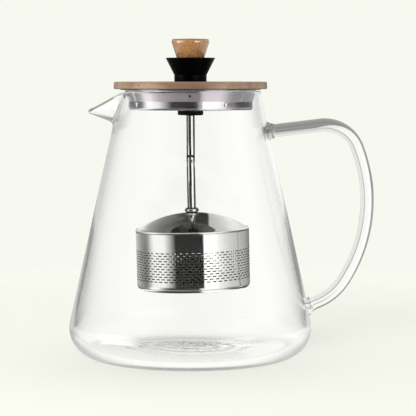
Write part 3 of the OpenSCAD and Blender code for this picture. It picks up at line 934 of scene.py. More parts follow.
def handle_path():
    """Stations (x, z, heading, radius) from inside the wall to inside the wall."""
    def flare(t):
        return HANDLE_R + (WELD_R - HANDLE_R) * max(1 - t, 0.0) ** 2.2

    weld = [i / WELD_STEPS for i in range(WELD_STEPS + 1)]
    start_z = POT_H - HANDLE_DROP
    start = (plain_wall(start_z), start_z, ARM_TURN)
    path = [(*ahead(start, -SINK), SUNK_R)]
    path += [(*ahead(start, WELD_LEN * t), flare(t)) for t in weld]
    place = ahead(start, ARM_LEN)
    for radius, turn in BENDS:
        steps = int(turn / BEND_STEP)
        path += [(*bent(place, radius, math.radians(turn * i / steps)), HANDLE_R)
                 for i in range(steps)]
        place = bent(place, radius, math.radians(turn))
    run = (plain_wall(place[1]) - place[0]) / (
        math.cos(place[2]) + WALL_SLOPE * math.sin(place[2]))
    path += [(*ahead(place, run - WELD_LEN * t), flare(t)) for t in reversed(weld)]
    return path + [(*ahead(place, run + SINK), SUNK_R)]


def handle_mesh():
    """Rings of points round the path, closed at both ends."""
    points, rings = [], []
    for x, z, heading, radius in handle_path():
        rings.append([len(points) + i for i in range(HANDLE_SIDES)])
        for i in range(HANDLE_SIDES):
            a = 2 * math.pi * i / HANDLE_SIDES
            points.append((x - radius * math.cos(a) * math.sin(heading),
                           radius * math.sin(a),
                           z + radius * math.cos(a) * math.cos(heading)))
    faces = strip(rings[:-1], rings[1:])
    return points, faces + [list(reversed(rings[0])), rings[-1]]


settle(form("handle_rod", *handle_mesh()), "pot", HANDLE_GLASS,
       ["glass_handle"], sharp=60)

# %% [markdown]
# ## The lid
# A wooden disc lies on a pressed steel pan, and the pan's flange lies on the
# rim of the glass. A black socket holds them from above, and a nut with a rubber
# washer from below. All are turned outlines, and the disc is the simplest one.

# %% Wooden disc
disc_r, disc_z, disc_top = disc_high.x, disc_low.z, disc_high.z
STEM_HOLE = 5.85
disc = form("lid_wood_disc", *revolve(rounded([
    (STEM_HOLE, disc_z), (disc_r, disc_z, 0.7), (disc_r, disc_top, 0.9),
    (STEM_HOLE, disc_top)]), FINE))
settle(disc, "lid", LID_WOOD, ["lid_disc"])

# %% [markdown]
# The pan is pressed from one sheet: a floor, an upright skirt, a flare and a
# flange. Its outline goes along the outside and back along the inside. Two more
# points on the skirt hold its shading upright, because smooth shading would bend
# it towards the round corner and the flare. The vent is a real hole.

# %% Steel pan
PAN_T, PAN_SKIRT_R, PAN_FLARE_R, FLARE_H = 0.6, 37.2, 39.0, 6.6
PAN_CORNER, VENT_R, VENT_SIDES = 1.4, 0.6, 24
flange_r, pan_z, flange_z = pan_high.x, pan_low.z, pan_high.z - PAN_T
flare_z = flange_z - FLARE_H
pan = form("lid_steel_pan", *revolve(rounded([
    (STEM_HOLE, pan_z), (PAN_SKIRT_R, pan_z, PAN_CORNER),
    (PAN_SKIRT_R, pan_z + PAN_CORNER + 0.2),
    (PAN_SKIRT_R, flare_z - 0.4), (PAN_SKIRT_R, flare_z, 1.6),
    (PAN_FLARE_R, flange_z - 2 * PAN_T, 0.8), (PAN_FLARE_R, flange_z, 0.25),
    (flange_r, flange_z, 0.25), (flange_r, flange_z + PAN_T, 0.25),
    (PAN_FLARE_R - PAN_T, flange_z + PAN_T, 0.5),
    (PAN_FLARE_R - PAN_T, flange_z - 2 * PAN_T, 0.8), (PAN_SKIRT_R - PAN_T, flare_z, 1.6),
    (PAN_SKIRT_R - PAN_T, pan_z + PAN_T, 0.8), (STEM_HOLE, pan_z + PAN_T)]), FINE))
vent = form("tool", *revolve([(0, 30), (VENT_R, 30), (VENT_R, 45), (0, 45)], VENT_SIDES),
            Matrix.Translation((0, 0, (flare_z + flange_z) / 2 * MM))
            @ Matrix.Rotation(math.pi / 2, 4, "X"))
worked(pan, [("DIFFERENCE", vent)])
print("pan with its vent:", len(pan.data.polygons), "faces")

# %% [markdown]
# The dimples are one cap, placed by Geometry Nodes on the points of a circle and
# turned to face outwards. The tree is short, and the count is one of its inputs.

# %% Dimples round the pan
DIMPLE_R, DIMPLE_H, DIMPLE_TURN, DIMPLES = 1.6, 0.7, -56.0, 4


def node_group(name, inputs):
    """A Geometry Nodes tree with named inputs; returns tree, inputs and keys."""
    group = bpy.data.node_groups.new(name, "GeometryNodeTree")
    group.interface.new_socket("Geometry", in_out="OUTPUT",
                               socket_type="NodeSocketGeometry")
    keys = {}
    for label, kind in inputs:
        keys[label] = group.interface.new_socket(
            label, in_out="INPUT", socket_type=kind).identifier
    tree = Tree(group)
    source = tree.add("NodeGroupInput", None, {})
    return tree, {label: Signal(tree, source.outputs[label]) for label, _ in inputs}, keys


def grown(name, tree, keys, values):
    """Runs a Geometry Nodes tree and returns its result as a plain object."""
    made = bpy.data.objects.new(name, bpy.data.meshes.new(name))
    bpy.context.scene.collection.objects.link(made)
    step = made.modifiers.new(name, "NODES")
    step.node_group = tree.node_tree
    for label, value in values.items():
        step[keys[label]] = value
    return applied(made)


def dimple_tree():
    """A cap at each point of a circle, turned to face outwards."""
    tree, given, keys = node_group("dimples round the skirt", [
        ("Cap", "NodeSocketObject"), ("Count", "NodeSocketInt"),
        ("Radius", "NodeSocketFloat"), ("Height", "NodeSocketFloat"),
        ("First", "NodeSocketFloat"), ("Finish", "NodeSocketMaterial")])
    index = tree.add("GeometryNodeInputIndex", 0, {})
    turn = index * (2 * math.pi) / given["Count"] + given["First"]
    spot = tree.add("ShaderNodeCombineXYZ", 0, {},
                    given["Radius"] * turn.math("COSINE"),
                    given["Radius"] * turn.math("SINE"), given["Height"])
    spots = tree.add("GeometryNodePoints", 0, {}, Count=given["Count"], Position=spot)
    cap = tree.add("GeometryNodeObjectInfo", "Geometry", {}, Object=given["Cap"])
    facing = tree.add("ShaderNodeCombineXYZ", 0, {}, 0.0, 0.0, turn)
    placed = tree.add("GeometryNodeInstanceOnPoints", 0, {}, Points=spots, Instance=cap,
                      Rotation=facing)
    real = tree.add("GeometryNodeRealizeInstances", 0, {}, Geometry=placed)
    done = tree.add("GeometryNodeSetMaterial", 0, {}, Geometry=real,
                    Material=given["Finish"])
    tree.add("NodeGroupOutput", None, {}, done)
    return tree, keys


ball_r = (DIMPLE_R ** 2 + DIMPLE_H ** 2) / (2 * DIMPLE_H)
half_cap = math.degrees(math.asin(min(DIMPLE_R / ball_r, 1.0)))
cap_outline = [(0, -0.3), (DIMPLE_R + 0.1, -0.3)]
cap_outline += arc((0, DIMPLE_H - ball_r), ball_r, 90 - half_cap, 90, 8)
cap = form("tool", *revolve(cap_outline, 28), Matrix.Rotation(math.pi / 2, 4, "Y"))
dimples = grown("lid_dimples", *dimple_tree(), {
    "Cap": cap, "Count": DIMPLES, "Radius": PAN_SKIRT_R * MM,
    "Height": (flare_z + pan_z + PAN_CORNER) / 2 * MM,
    "First": math.radians(DIMPLE_TURN), "Finish": PAN_STEEL})
worked(pan, [("UNION", dimples)])
bpy.data.objects.remove(cap)
settle(pan, "lid", PAN_STEEL, ["lid_pan"], sharp=40)

# %% [markdown]
# The socket is moulded in one: a cup for the knob, a neck and a hollow stem that
# goes through disc and pan. The nut grips the stem from below, with a washer of
# silicone between. A seal in the stem holds the rod at any height. Each outline
# takes its heights from its neighbours' boxes, so the stack closes without gaps.

# %% Socket, washer, nut and seal
sock_low, sock_high = span("knob_socket")
nut_low, nut_high = span("guide_nut")
seal_low, seal_high = span("rod_seal")
washer_low, washer_high = span("seal_washer")
ROD_R, STEM_R, SEAT_GAP, KNOB_FOOT_R = 2.5, 5.7, 0.35, 6.3
SOCKET_NECK_R, SOCKET_NECK_H = 9.7, 4.1
knob_slope = (knob_high.x - KNOB_FOOT_R) / (knob_high.z - knob_low.z)
socket_top, seat_z = sock_high.z, knob_low.z
mouth_in = KNOB_FOOT_R + (socket_top - seat_z) * knob_slope + SEAT_GAP
floor_z = seat_z - SEAT_GAP
SEAL_R, THROAT_R, TRUMPET_R = seal_high.x, 3.1, 4.3
socket = form("socket_black", *revolve(rounded([
    (THROAT_R, seal_low.z), (SEAL_R, seal_low.z), (SEAL_R, seal_high.z),
    (ROD_R + 0.15, seal_high.z), (ROD_R + 0.15, floor_z), (KNOB_FOOT_R + SEAT_GAP, floor_z),
    (mouth_in, socket_top, 0.4), (sock_high.x, socket_top, 0.35),
    (SOCKET_NECK_R, disc_top + SOCKET_NECK_H, 0.6), (SOCKET_NECK_R, disc_top, 0.2),
    (STEM_R, disc_top),
    (STEM_R, sock_low.z), (TRUMPET_R, sock_low.z)]), COARSE))
settle(socket, "lid", BLACK, ["knob_socket"])

washer = form("washer_rubber", *revolve(rounded([
    (STEM_HOLE, washer_low.z), (washer_high.x, washer_low.z, 0.25),
    (washer_high.x, washer_high.z, 0.25), (STEM_HOLE, washer_high.z)])))
settle(washer, "lid", RUBBER, ["seal_washer"])

nut = form("nut_black", *revolve(rounded([
    (TRUMPET_R, nut_low.z, 0.2), (nut_high.x, nut_low.z, 0.9),
    (nut_high.x, nut_high.z, 0.2), (STEM_R + 0.05, nut_high.z),
    (STEM_R + 0.05, sock_low.z), (TRUMPET_R, sock_low.z)])))
settle(nut, "lid", BLACK, ["guide_nut"])

seal = form("seal_rubber", *revolve(rounded([
    (ROD_R + 0.05, seal_low.z + 0.6, 0.3), (ROD_R + 0.75, seal_low.z, 0.2),
    (SEAL_R, seal_low.z), (SEAL_R, seal_high.z), (ROD_R + 0.75, seal_high.z, 0.2),
    (ROD_R + 0.05, seal_high.z - 0.6, 0.3)])))
settle(seal, "lid", RUBBER, ["rod_seal"])

# %% [markdown]
# ## The knob
# The wooden knob is a turned cone with a soft shoulder, a round top edge and a
# slightly crowned top. The shoulder lies on the CAD cone, so the knob keeps clear
# of its socket. It hides a brass insert for the rod's thread.

# %% Knob and insert
insert_low, insert_high = span("knob_insert")
knob_top, INSERT_R = knob_high.z, insert_high.x
bore = INSERT_R + 0.05
CROWN, KNOB_SHOULDER = 0.35, 2.6
share = (knob_top - KNOB_SHOULDER - seat_z) / (knob_top - CROWN - seat_z)
shoulder_r = KNOB_FOOT_R + (knob_high.x + 0.32 - KNOB_FOOT_R) * share
knob_outline = rounded([
    (bore, seat_z), (KNOB_FOOT_R, seat_z, 0.6), (shoulder_r, knob_top - KNOB_SHOULDER, 5.0),
    (knob_high.x + 0.02, knob_top - CROWN, 1.3),
    (0, knob_top), (0, insert_high.z + 1), (bore, insert_high.z + 1)], 8)
knob = form("knob_wood_body", *revolve(knob_outline, COARSE))
settle(knob, "plunger", KNOB_WOOD, ["wood_knob"])
THREAD_R = 2.0
insert = form("knob_brass_insert", *revolve(rounded([
    (THREAD_R + 0.05, insert_low.z), (INSERT_R, insert_low.z, 0.3),
    (INSERT_R, insert_high.z, 0.3), (THREAD_R + 0.05, insert_high.z)]), 64))
settle(insert, "plunger", BRASS, ["knob_insert"])

# %% [markdown]
# ## The rods and their knuckle
# The upper rod ends in a tongue and the lower rod in a fork, and a pin holds them
# together, so the strainer can swing. Both ends are milled flats on round bar. An
# outline can't give them, so they are cut from the turned bar with plain tools.

# %% Rods and knuckle
up_high = span("upper_rod")[1]
PIN_R, HEAD_R, TONGUE_T, FORK_SLOT, SHOULDER = 0.8, 1.2, 1.8, 2.0, 3.7
ROD_SIDES, PIN_SIDES = 64, 40
CROSSWISE = Matrix.Translation(pin) @ Matrix.Rotation(math.pi / 2, 4, "X")


def drill(radius, place):
    """A bar along Y through the knuckle, used as a cutting tool."""
    ends = ROD_R * 2
    bar = [(0, -ends), (radius, -ends), (radius, ends), (0, ends)]
    return form("tool", *revolve(bar, PIN_SIDES), place)


upper = form("rod_upper", *revolve(rounded([
    (0, pin_z - ROD_R), (ROD_R, pin_z - ROD_R), (ROD_R, seat_z, 0.3),
    (THREAD_R, seat_z), (THREAD_R, up_high.z, 0.3), (0, up_high.z)], 3), ROD_SIDES))
round_foot = plate(arc((0, pin_z), ROD_R, -180, 0, 28)
                   + [(ROD_R, up_high.z + 5), (-ROD_R, up_high.z + 5)], -5, 5)
shoulder_z = pin_z + SHOULDER
worked(upper, [
    ("INTERSECT", round_foot),
    ("DIFFERENCE", block((-5, TONGUE_T / 2, pin_z - 5), (5, 6, shoulder_z))),
    ("DIFFERENCE", block((-5, -6, pin_z - 5), (5, -TONGUE_T / 2, shoulder_z))),
    ("DIFFERENCE", drill(PIN_R + 0.05, CROSSWISE))])
settle(upper, "plunger", CHROME, ["upper_rod"])

DOME_TOP, ROD_FOOT = 87.2, 82.05
slot_z = pin_z - ROD_R - 0.2 - SHOULDER / 4
lower = form("rod_lower", *revolve(rounded([
    (0, ROD_FOOT), (THREAD_R, ROD_FOOT, 0.3), (THREAD_R, DOME_TOP), (ROD_R, DOME_TOP, 0.2),
    (ROD_R, pin_z + ROD_R), (0, pin_z + ROD_R)], 3), ROD_SIDES), HANG)
round_head = plate(arc((0, pin_z), ROD_R, 0, 180, 28)
                   + [(-ROD_R, ROD_FOOT - 5), (ROD_R, ROD_FOOT - 5)], -5, 5, HANG)
worked(lower, [
    ("INTERSECT", round_head),
    ("DIFFERENCE", block((-6, -FORK_SLOT / 2, slot_z), (6, FORK_SLOT / 2, pin_z + 6), HANG)),
    ("DIFFERENCE", drill(PIN_R, HANG @ CROSSWISE))])
settle(lower, "infuser", CHROME, ["lower_rod"])

head_in, head_out = ROD_R - 0.1, ROD_R + 0.3
rivet = form("knuckle_pin_steel", *revolve(rounded([
    (0, -head_out), (HEAD_R, -head_out, 0.25), (HEAD_R, -head_in), (PIN_R, -head_in),
    (PIN_R, head_in), (HEAD_R, head_in), (HEAD_R, head_out, 0.25), (0, head_out)], 4),
    PIN_SIDES), HANG @ CROSSWISE)
settle(rivet, "infuser", PIN_STEEL, ["knuckle_pin"])

# %% [markdown]
# ## The strainer
# A collar stands on a domed lid with a rolled rim. A nut holds the dome from
# inside, and a ring below it plugs the cup. The dome is a part of a sphere, so
# its outline is two arcs, and the rolled rim is a small arc between them.

# %% Collar, nut, dome and ring
COLLAR_R, COLLAR_H = 4.2, 2.8
collar = form("foot_collar_steel", *revolve(rounded([
    (ROD_R + 0.05, DOME_TOP), (COLLAR_R - 0.8, DOME_TOP, 0.15),
    (COLLAR_R, DOME_TOP + 0.95, 0.6), (COLLAR_R, DOME_TOP + 1.9, 0.6),
    (COLLAR_R - 0.75, DOME_TOP + COLLAR_H, 0.3), (ROD_R + 0.05, DOME_TOP + COLLAR_H)])),
    HANG)
settle(collar, "infuser", CHROME, ["foot_collar"])

NUT_FLATS, NUT_H, NUT_Z = 7.0, 3.2, 83.05
nut_corner = NUT_FLATS / 2 / math.cos(math.pi / 6)
hexagon = form("foot_nut_steel", *revolve(rounded([
    (THREAD_R + 0.05, NUT_Z), (nut_corner, NUT_Z, 0.25), (nut_corner, NUT_Z + NUT_H, 0.25),
    (THREAD_R + 0.05, NUT_Z + NUT_H)], 3), 6), HANG)
settle(hexagon, "infuser", PIN_STEEL, ["foot_nut"], sharp=25)

CUP_R, CUP_T, CUP_CORNER = 34.0, 0.7, 2.6
DOME_R, DOME_T, DOME_RISE, BEAD_H = CUP_R + 0.2, 0.8, 9.2, 1.2
rim_z = DOME_TOP - DOME_RISE
bead_z = rim_z - BEAD_H
edge_r = DOME_R - BEAD_H
ball = (edge_r ** 2 + DOME_RISE ** 2) / (2 * DOME_RISE)
ball_z = DOME_TOP - ball
hole_r, inner_r = THREAD_R + 0.15, DOME_R - 1.9


def on_ball(r, radius):
    """Angle on a ball, in degrees, at a distance from the axis."""
    return math.degrees(math.acos(r / radius))


dome_outline = arc((0, ball_z), ball - DOME_T, on_ball(hole_r, ball - DOME_T),
                   on_ball(inner_r, ball - DOME_T), 28)
dome_outline += [(inner_r, bead_z), (DOME_R - 0.35, bead_z)]
dome_outline += arc((DOME_R - BEAD_H / 2, bead_z + BEAD_H / 2), BEAD_H / 2, -60, 120, 10)
dome_outline += arc((0, ball_z), ball, on_ball(edge_r - 0.5, ball), on_ball(hole_r, ball), 32)
dome = form("strainer_dome", *revolve(dome_outline, FINE), HANG)
settle(dome, "infuser", STRAINER_STEEL, ["strainer_lid"], sharp=30)

RING_R, RING_T, RING_H = CUP_R - CUP_T - 0.15, 0.7, 7.5
ring = form("strainer_plug_ring", *revolve(rounded([
    (RING_R - RING_T, bead_z - RING_H, 0.25), (RING_R, bead_z - RING_H, 0.25),
    (RING_R, bead_z), (RING_R - RING_T, bead_z)]), FINE), HANG)
settle(ring, "infuser", STRAINER_STEEL, ["plug_ring"])

# %% [markdown]
# ## The slotted cup
# The cup is drawn from sheet and pierced by rows of short slots. One flat tile
# with a slot in it is laid on a grid, every other row moved by half a pitch, and
# the sheet is bent round to a cylinder. The tile has a point in the middle of each
# side, so staggered rows meet point to point and the sheet closes without cracks.
# The floor takes the same tile on rings.

# %% Tile and Geometry Nodes tree
SLOTS_ROUND, WALL_ROWS, FLOOR_ROWS = 58, 12, 4
SLOT_LEN, SLOT_W, ROW_PITCH = 2.6, 0.62, 1.535
FLOOR_SLOT_W, FLOOR_PITCH, FLOOR_IN = 1.2, 3.0, 16.0
PITCH = 2 * math.pi * CUP_R / SLOTS_ROUND


def slot_tile(name, width, height, length, slot):
    """A flat tile with a round-ended slot."""
    shape = bmesh.new()
    x, y, r = width / 2, height / 2, slot / 2
    edge = [(-x, -y), (0, -y), (x, -y), (x, 0), (x, y), (0, y), (-x, y), (-x, 0)]
    hole = arc((length / 2 - r, 0), r, -90, 90, 4)
    hole += arc((r - length / 2, 0), r, 90, 270, 4)
    edges = []
    for loop in (edge, hole):
        spots = [shape.verts.new((a * MM, b * MM, 0)) for a, b in loop]
        edges += [shape.edges.new((spots[i - 1], spots[i])) for i in range(len(spots))]
    bmesh.ops.triangle_fill(shape, use_beauty=True, edges=edges, normal=(0, 0, 1))
    mesh = bpy.data.meshes.new(name)
    shape.to_mesh(mesh)
    shape.free()
    made = bpy.data.objects.new(name, mesh)
    bpy.context.scene.collection.objects.link(made)
    return made


def slotted_tree():
    """Tiles on a grid, bent round an upright wall or laid on a flat ring."""
    tree, given, keys = node_group("slotted sheet", [
        ("Tile", "NodeSocketObject"), ("Columns", "NodeSocketInt"),
        ("Rows", "NodeSocketInt"), ("Column pitch", "NodeSocketFloat"),
        ("Row pitch", "NodeSocketFloat"), ("Radius", "NodeSocketFloat"),
        ("Base", "NodeSocketFloat"), ("Flat", "NodeSocketFloat"),
        ("Finish", "NodeSocketMaterial")])
    rows, pitch = given["Rows"], given["Row pitch"]
    tall = (rows - 1.0) * pitch
    grid = tree.add("GeometryNodeMeshGrid", "Mesh", {},
                    (given["Columns"] - 1.0) * given["Column pitch"], tall,
                    given["Columns"], rows)
    up = tree.xyz(tree.add("GeometryNodeInputPosition", 0, {}))[1]
    odd = ((up + tall * 0.5) / pitch).math("ROUND").math("FLOORED_MODULO", 2.0)
    shift = tree.add("ShaderNodeCombineXYZ", 0, {}, odd * given["Column pitch"] * 0.5,
                     0.0, 0.0)
    brick = tree.add("GeometryNodeSetPosition", 0, {}, Geometry=grid, Offset=shift)
    tile = tree.add("GeometryNodeObjectInfo", "Geometry", {}, Object=given["Tile"])
    laid = tree.add("GeometryNodeInstanceOnPoints", 0, {}, Points=brick, Instance=tile)
    sheet = tree.add("GeometryNodeRealizeInstances", 0, {}, Geometry=laid)
    along, up, _ = tree.xyz(tree.add("GeometryNodeInputPosition", 0, {}))
    height = up + tall * 0.5 + pitch * 0.5
    turn = along / given["Columns"] / given["Column pitch"] * (2 * math.pi)
    out = given["Radius"] + height * given["Flat"]
    bend = tree.add("ShaderNodeCombineXYZ", 0, {}, out * turn.math("SINE"),
                    -(out * turn.math("COSINE")),
                    given["Base"] + height * (1.0 - given["Flat"]))
    bowl = tree.add("GeometryNodeSetPosition", 0, {}, Geometry=sheet, Position=bend)
    joined = tree.add("GeometryNodeMergeByDistance", 0, {}, Geometry=bowl, Distance=2e-5)
    done = tree.add("GeometryNodeSetMaterial", 0, {}, Geometry=joined,
                    Material=given["Finish"])
    tree.add("NodeGroupOutput", None, {}, done)
    return tree, keys


wall_tile = slot_tile("wall tile", PITCH, ROW_PITCH, SLOT_LEN, SLOT_W)
floor_tile = slot_tile("floor tile", PITCH, FLOOR_PITCH, SLOT_LEN, FLOOR_SLOT_W)
slot_tree, slot_keys = slotted_tree()
print("slotted sheet of", len(slot_tree.node_tree.nodes), "nodes, with", list(slot_keys))

# %% [markdown]
# The plain bands above and below the slots, the round corner and the rest of the
# floor are open turned strips with the same number of steps round. Everything is
# welded to one sheet and thickened inwards by a Solidify modifier.

# %% Slotted wall and floor of the cup
CUP_TOP, CUP_H, LOWEST_SLOT = bead_z - 0.3, 34.6, 48.7
cup_z = CUP_TOP - CUP_H
SLOTS_Z = LOWEST_SLOT - ROW_PITCH / 2
slots_top = SLOTS_Z + WALL_ROWS * ROW_PITCH
floor_out = FLOOR_IN + FLOOR_ROWS * FLOOR_PITCH
wall = grown("cup_wall", slot_tree, slot_keys, {
    "Tile": wall_tile, "Columns": SLOTS_ROUND, "Rows": WALL_ROWS,
    "Column pitch": PITCH * MM, "Row pitch": ROW_PITCH * MM, "Radius": CUP_R * MM,
    "Base": SLOTS_Z * MM, "Flat": 0.0, "Finish": CUP_STEEL})
floor = grown("cup_floor", slot_tree, slot_keys, {
    "Tile": floor_tile, "Columns": SLOTS_ROUND, "Rows": FLOOR_ROWS,
    "Column pitch": PITCH * MM, "Row pitch": FLOOR_PITCH * MM,
    "Radius": FLOOR_IN * MM, "Base": cup_z * MM, "Flat": 1.0, "Finish": CUP_STEEL})
print(SLOTS_ROUND * WALL_ROWS, "slots in the wall,", SLOTS_ROUND * FLOOR_ROWS, "in the floor")

# %% [markdown]
# After the Solidify modifier, the points of the outer side come first in the mesh.
# So a face with a later point is inside the cup or on a slot's edge, and a face
# attribute tells the finish to darken and dull it there: painted shade inside the
# cup and in the slots.

# %% Cup
CUP_STEPS, WELD = 2 * SLOTS_ROUND, 2e-5
upper_band = [(CUP_R, slots_top), (CUP_R, CUP_TOP - 5), (CUP_R, CUP_TOP)]
lower_band = [(CUP_R, SLOTS_Z), (CUP_R, cup_z + CUP_CORNER + 2)]
lower_band += arc((CUP_R - CUP_CORNER, cup_z + CUP_CORNER), CUP_CORNER, 0, -90, 8)
lower_band += [(floor_out, cup_z)]
floor_middle = [(FLOOR_IN, cup_z), (10, cup_z), (5, cup_z), (0, cup_z)]


def cup_sheet():
    """Slotted wall and floor, with the plain strips between them, as one open sheet."""
    shape = bmesh.new()
    for slotted in (wall, floor):
        shape.from_mesh(slotted.data)
    for outline in (upper_band, lower_band, floor_middle):
        points, faces = revolve(outline, CUP_STEPS)
        spots = [shape.verts.new(Vector(p) * MM) for p in points]
        for face in faces[:-CUP_STEPS]:
            shape.faces.new([spots[i] for i in face])
    bmesh.ops.remove_doubles(shape, verts=shape.verts, dist=WELD)
    bmesh.ops.recalc_face_normals(shape, faces=shape.faces)
    mesh = bpy.data.meshes.new("cup")
    shape.to_mesh(mesh)
    shape.free()
    return mesh


cup = bpy.data.objects.new("strainer_slotted_cup", cup_sheet())
bpy.context.scene.collection.objects.link(cup)
for used in (wall, floor, wall_tile, floor_tile):
    bpy.data.objects.remove(used)
sheet = cup.modifiers.new("sheet", "SOLIDIFY")
sheet.thickness, sheet.offset, sheet.use_even_offset = CUP_T * MM, -1.0, True
outer_points = len(cup.data.vertices)
applied(cup)
marks = cup.data.attributes.new("inside", "FLOAT", "FACE")
for mark, face in zip(marks.data, cup.data.polygons):
    mark.value = float(max(face.vertices) >= outer_points)
cup.data.transform(HANG)
settle(cup, "cup", CUP_STEEL, ["strainer_cup"], sharp=30)

# %% [markdown]
# ## Table
# The pot stands on a pale table that runs into a pale background. The table fades
# out with distance, so no edge shows. It is there for the pot's shadow alone:
# mirrors and glass don't see it, because the world below sets what they show.

# %% Table
TABLE, TABLE_R, TABLE_SIDES, TABLE_DROP = shaded(BACKDROP, 1.045), 600.0, 96, 0.05


def table_finish():
    finish, tree = new_finish("pale table")
    fade = tree.vector("LENGTH", "Value", tree.place()).ramp(0.20, 0.55)
    matt = tree.add("ShaderNodeBsdfDiffuse", 0, {}, Color=TABLE)
    clear = tree.add("ShaderNodeBsdfTransparent", 0, {})
    surface(tree, tree.mixed(fade, matt, clear))
    return finish


table_edge = [(x, y, -TABLE_DROP) for x, y in arc((0, 0), TABLE_R, 0, 360, TABLE_SIDES)[:-1]]
table = form("table", table_edge, [list(range(TABLE_SIDES))])
table.data.materials.append(table_finish())
table.visible_glossy = table.visible_transmission = False
print("table", 2 * TABLE_R, "mm across")

# %% [markdown]
# ## What mirrors show
# Bright and dark panels are what makes steel look like steel. Panels could stand
# round the pot as lamps. Here they are part of the world's colour, which is easier
# to place: each direction is mirrored to the camera by a surface of one tilt, half
# way between that direction and the camera's. So a row of panels is laid out over
# the sideways tilt, from -1 at the left edge of a round piece to 1 at its right
# edge. Each kind of surface has a row of its own: the cup's upright wall, the belt
# of the pan's skirt, the pan's splayed flare and the lying dome. The soft row is
# for what glass and wood mirror, and the boxes give the knob its two highlights.

# %% Rows of panels
AIM, STAND = Vector((0.0105, 0.0, 0.0900)), Vector((0.0105, -1.08, 0.1700))
UPRIGHT = [(-1.0, 0.70), (-0.95, 0.52), (-0.90, 0.34), (-0.82, 0.22), (-0.77, 0.40),
           (-0.72, 0.90), (-0.67, 1.20), (-0.50, 1.20), (-0.42, 0.72), (-0.34, 0.26),
           (-0.29, 0.01), (0.185, 0.01), (0.205, 1.60), (0.35, 1.60), (0.45, 1.20),
           (0.56, 0.95), (0.68, 0.72), (0.80, 0.60), (0.92, 0.42), (1.0, 0.10)]
BELT = [(-1.0, 0.20), (-0.90, 0.26), (-0.84, 0.24), (-0.78, 0.60), (-0.72, 1.40),
        (-0.61, 1.30), (-0.56, 0.75), (-0.50, 0.34), (-0.44, 0.08), (-0.38, 0.01),
        (0.08, 0.02), (0.12, 0.40), (0.15, 1.40), (0.42, 1.30), (0.52, 1.0),
        (0.57, 0.30), (0.62, 0.0), (0.90, 0.0), (1.0, 0.30)]
SPLAYED = [(-1.0, 0.22), (-0.80, 0.24), (-0.74, 0.46), (-0.68, 0.98), (-0.60, 1.0),
           (-0.54, 0.68), (-0.46, 0.48), (-0.36, 0.37), (-0.20, 0.28), (0.14, 0.24),
           (0.18, 0.62), (0.24, 0.82), (0.44, 0.80), (0.50, 0.62), (0.57, 0.38),
           (0.64, 0.22), (0.92, 0.18), (1.0, 0.26)]
SOFT = [(-1.0, 0.50), (-0.72, 1.0), (-0.45, 1.0), (-0.25, 0.25), (-0.10, 0.12),
        (0.10, 0.12), (0.25, 0.40), (0.42, 1.0), (0.76, 1.05), (0.95, 1.0), (1.0, 0.40)]
LYING = [(-0.55, 0.55), (-0.48, 0.38), (-0.36, 0.20), (-0.27, 0.15), (-0.185, 0.09),
         (-0.10, 0.05), (0.0, 0.035), (0.138, 0.03), (0.150, 0.64), (0.215, 0.70),
         (0.31, 0.82), (0.38, 0.94), (0.44, 0.92), (0.55, 0.70)]
BOXES = [(-0.74, 0.0), (-0.66, 1.0), (-0.48, 1.0), (-0.40, 0.0), (0.18, 0.0), (0.26, 1.0),
         (0.46, 1.0), (0.54, 0.0)]
PANEL, BLUSH, BOX_LIGHT = (1.0, 1.0, 0.98), (1.04, 0.96, 1.0), (7.5, 7.5, 7.4)
world = bpy.data.worlds.new("studio")
bpy.context.scene.world = world
world.use_nodes = True
sky = Tree(world.node_tree)
view = tuple((AIM - STAND).normalized())
outward = sky.add("ShaderNodeTexCoord", "Generated", {})
midway = sky.vector("NORMALIZE", 0, sky.vector("SUBTRACT", 0, outward, view))
onward = sky.vector("DOT_PRODUCT", "Value", outward, view)
tilt_x, _, tilt_z = sky.xyz(midway)
out_x, _, out_z = sky.xyz(outward)


def panels(stops, hue=PANEL):
    """Row of panels over the sideways tilt of the surface that mirrors them."""
    return sky.ramp_of(tilt_x * 0.5 + 0.5, [
        (turn / 2 + 0.5, shaded(hue, level)) for turn, level in stops])


print("rows of", [len(row) for row in (UPRIGHT, BELT, SPLAYED, SOFT, LYING, BOXES)], "stops")

# %% [markdown]
# The rows are stacked by the upward tilt, from surfaces that look down to ones
# that lie flat. Only light that has come through the pot's wall and back sees the
# sharp rows: the steel is behind glass, and the outside of the glass, the wood and
# the plastic mirror the soft row. A low panel lights the floor of the pot, and the
# neck mirrors little, so that the pan shows through it.

# %% Studio
through, mirrored, lit = sky.several(
    "ShaderNodeLightPath", "Transmission Depth", "Glossy Depth", "Is Diffuse Ray")
upright = out_z.within(-0.19, -0.17, -0.03, 0.0).blend(panels(BELT), panels(UPRIGHT))
low_panel = (1 - abs(out_x).ramp(0.30, 0.40)) * out_z.within(0.11, 0.15, 0.45, 0.50)
studio = tilt_z.ramp(-0.40, -0.36).blend(upright, panels(SPLAYED, BLUSH))
for mask, shown in ((tilt_z.ramp(-0.18, -0.10), upright), (tilt_z.ramp(0.18, 0.34), PANEL),
                    (tilt_z.ramp(0.78, 0.84), panels(LYING)),
                    (1 - tilt_z.ramp(-0.92, -0.80), BACKDROP),
                    (onward.ramp(0.990, 0.999), (0.40, 0.40, 0.39)),
                    (low_panel * through.ramp(4.2, 4.8), INSIDE)):
    studio = mask.blend(studio, shown)
soft = abs(tilt_z).ramp(0.40, 0.60).blend(panels(SOFT), INSIDE)
soft = (tilt_z.within(0.04, 0.08, 0.15, 0.19) * 0.75).blend(soft, (0.05, 0.05, 0.05))
boxes = panels(BOXES, CLEAR) * tilt_z.within(-0.20, -0.12, 0.08, 0.14)
soft = (boxes * (1 - through.ramp(0.2, 0.8))).blend(soft, BOX_LIGHT)
studio = through.ramp(2.2, 2.8).blend(soft, studio)
print("studio of", len(sky.node_tree.nodes), "nodes")

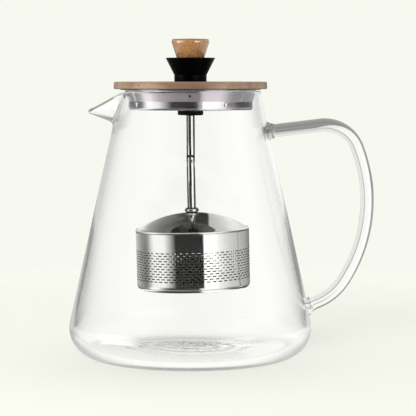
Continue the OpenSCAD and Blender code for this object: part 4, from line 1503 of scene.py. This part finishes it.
# %% [markdown]
# A ray that only looks sees the plain background, a little brighter through glass.
# A ray that was mirrored sees the studio. A ray that gathers light for a dull
# surface sees one even level, so that the panels don't colour the wood.

# %% World
AMBIENT, FILL = 0.70, (1.0, 1.0, 0.985)
plain = through.ramp(0.2, 0.8).blend(BACKDROP, INSIDE)
seen, shown, fill = [sky.add("ShaderNodeBackground", 0, {}, colour, strength)
                     for colour, strength in ((plain, 1.0), (studio, 1.0), (FILL, AMBIENT))]
looked = sky.mixed(mirrored.ramp(0.2, 0.8), seen, shown)
sky.add("ShaderNodeOutputWorld", None, {}, Surface=sky.mixed(lit, looked, fill))
print("world of", len(sky.node_tree.nodes), "nodes")

# %% [markdown]
# ## Lamps and camera
# Three large lamps shape the wood and the shadow: one from the left, a weak one
# from the right and one above. They are hidden from mirrors and glass, which have
# panels of their own. The camera stands far off with a long lens, a little above
# the pot's middle, as for a catalogue.

# %% Lamps
LAMPS = [("left panel", (-0.70, -1.0, 0.85), 0.60, 5.2),
         ("right panel", (0.85, -0.70, 0.80), 0.50, 0.2),
         ("top panel", (0.05, 0.25, 1.30), 0.80, 2.4)]
LIT_POINT = Vector((0, 0, 0.09))
for name, spot, size, power in LAMPS:
    lamp = bpy.data.lights.new(name, "AREA")
    lamp.shape, lamp.size, lamp.energy = "SQUARE", size, power
    stand = bpy.data.objects.new(name, lamp)
    stand.location = spot
    stand.rotation_euler = (LIT_POINT - Vector(spot)).to_track_quat("-Z", "Y").to_euler()
    stand.visible_glossy = stand.visible_transmission = stand.visible_camera = False
    bpy.context.scene.collection.objects.link(stand)
    print(name, power, "W")

# %% Camera
lens = bpy.data.cameras.new("camera")
lens.lens, lens.sensor_width = 155.8, 36.0
camera = bpy.data.objects.new("camera", lens)
camera.location = STAND
camera.rotation_euler = (AIM - STAND).to_track_quat("-Z", "Y").to_euler()
bpy.context.scene.collection.objects.link(camera)
bpy.context.scene.camera = camera
bpy.context.scene.view_settings.view_transform = "Standard"
print("camera", round((AIM - STAND).length, 3), "m away")

# %% [markdown]
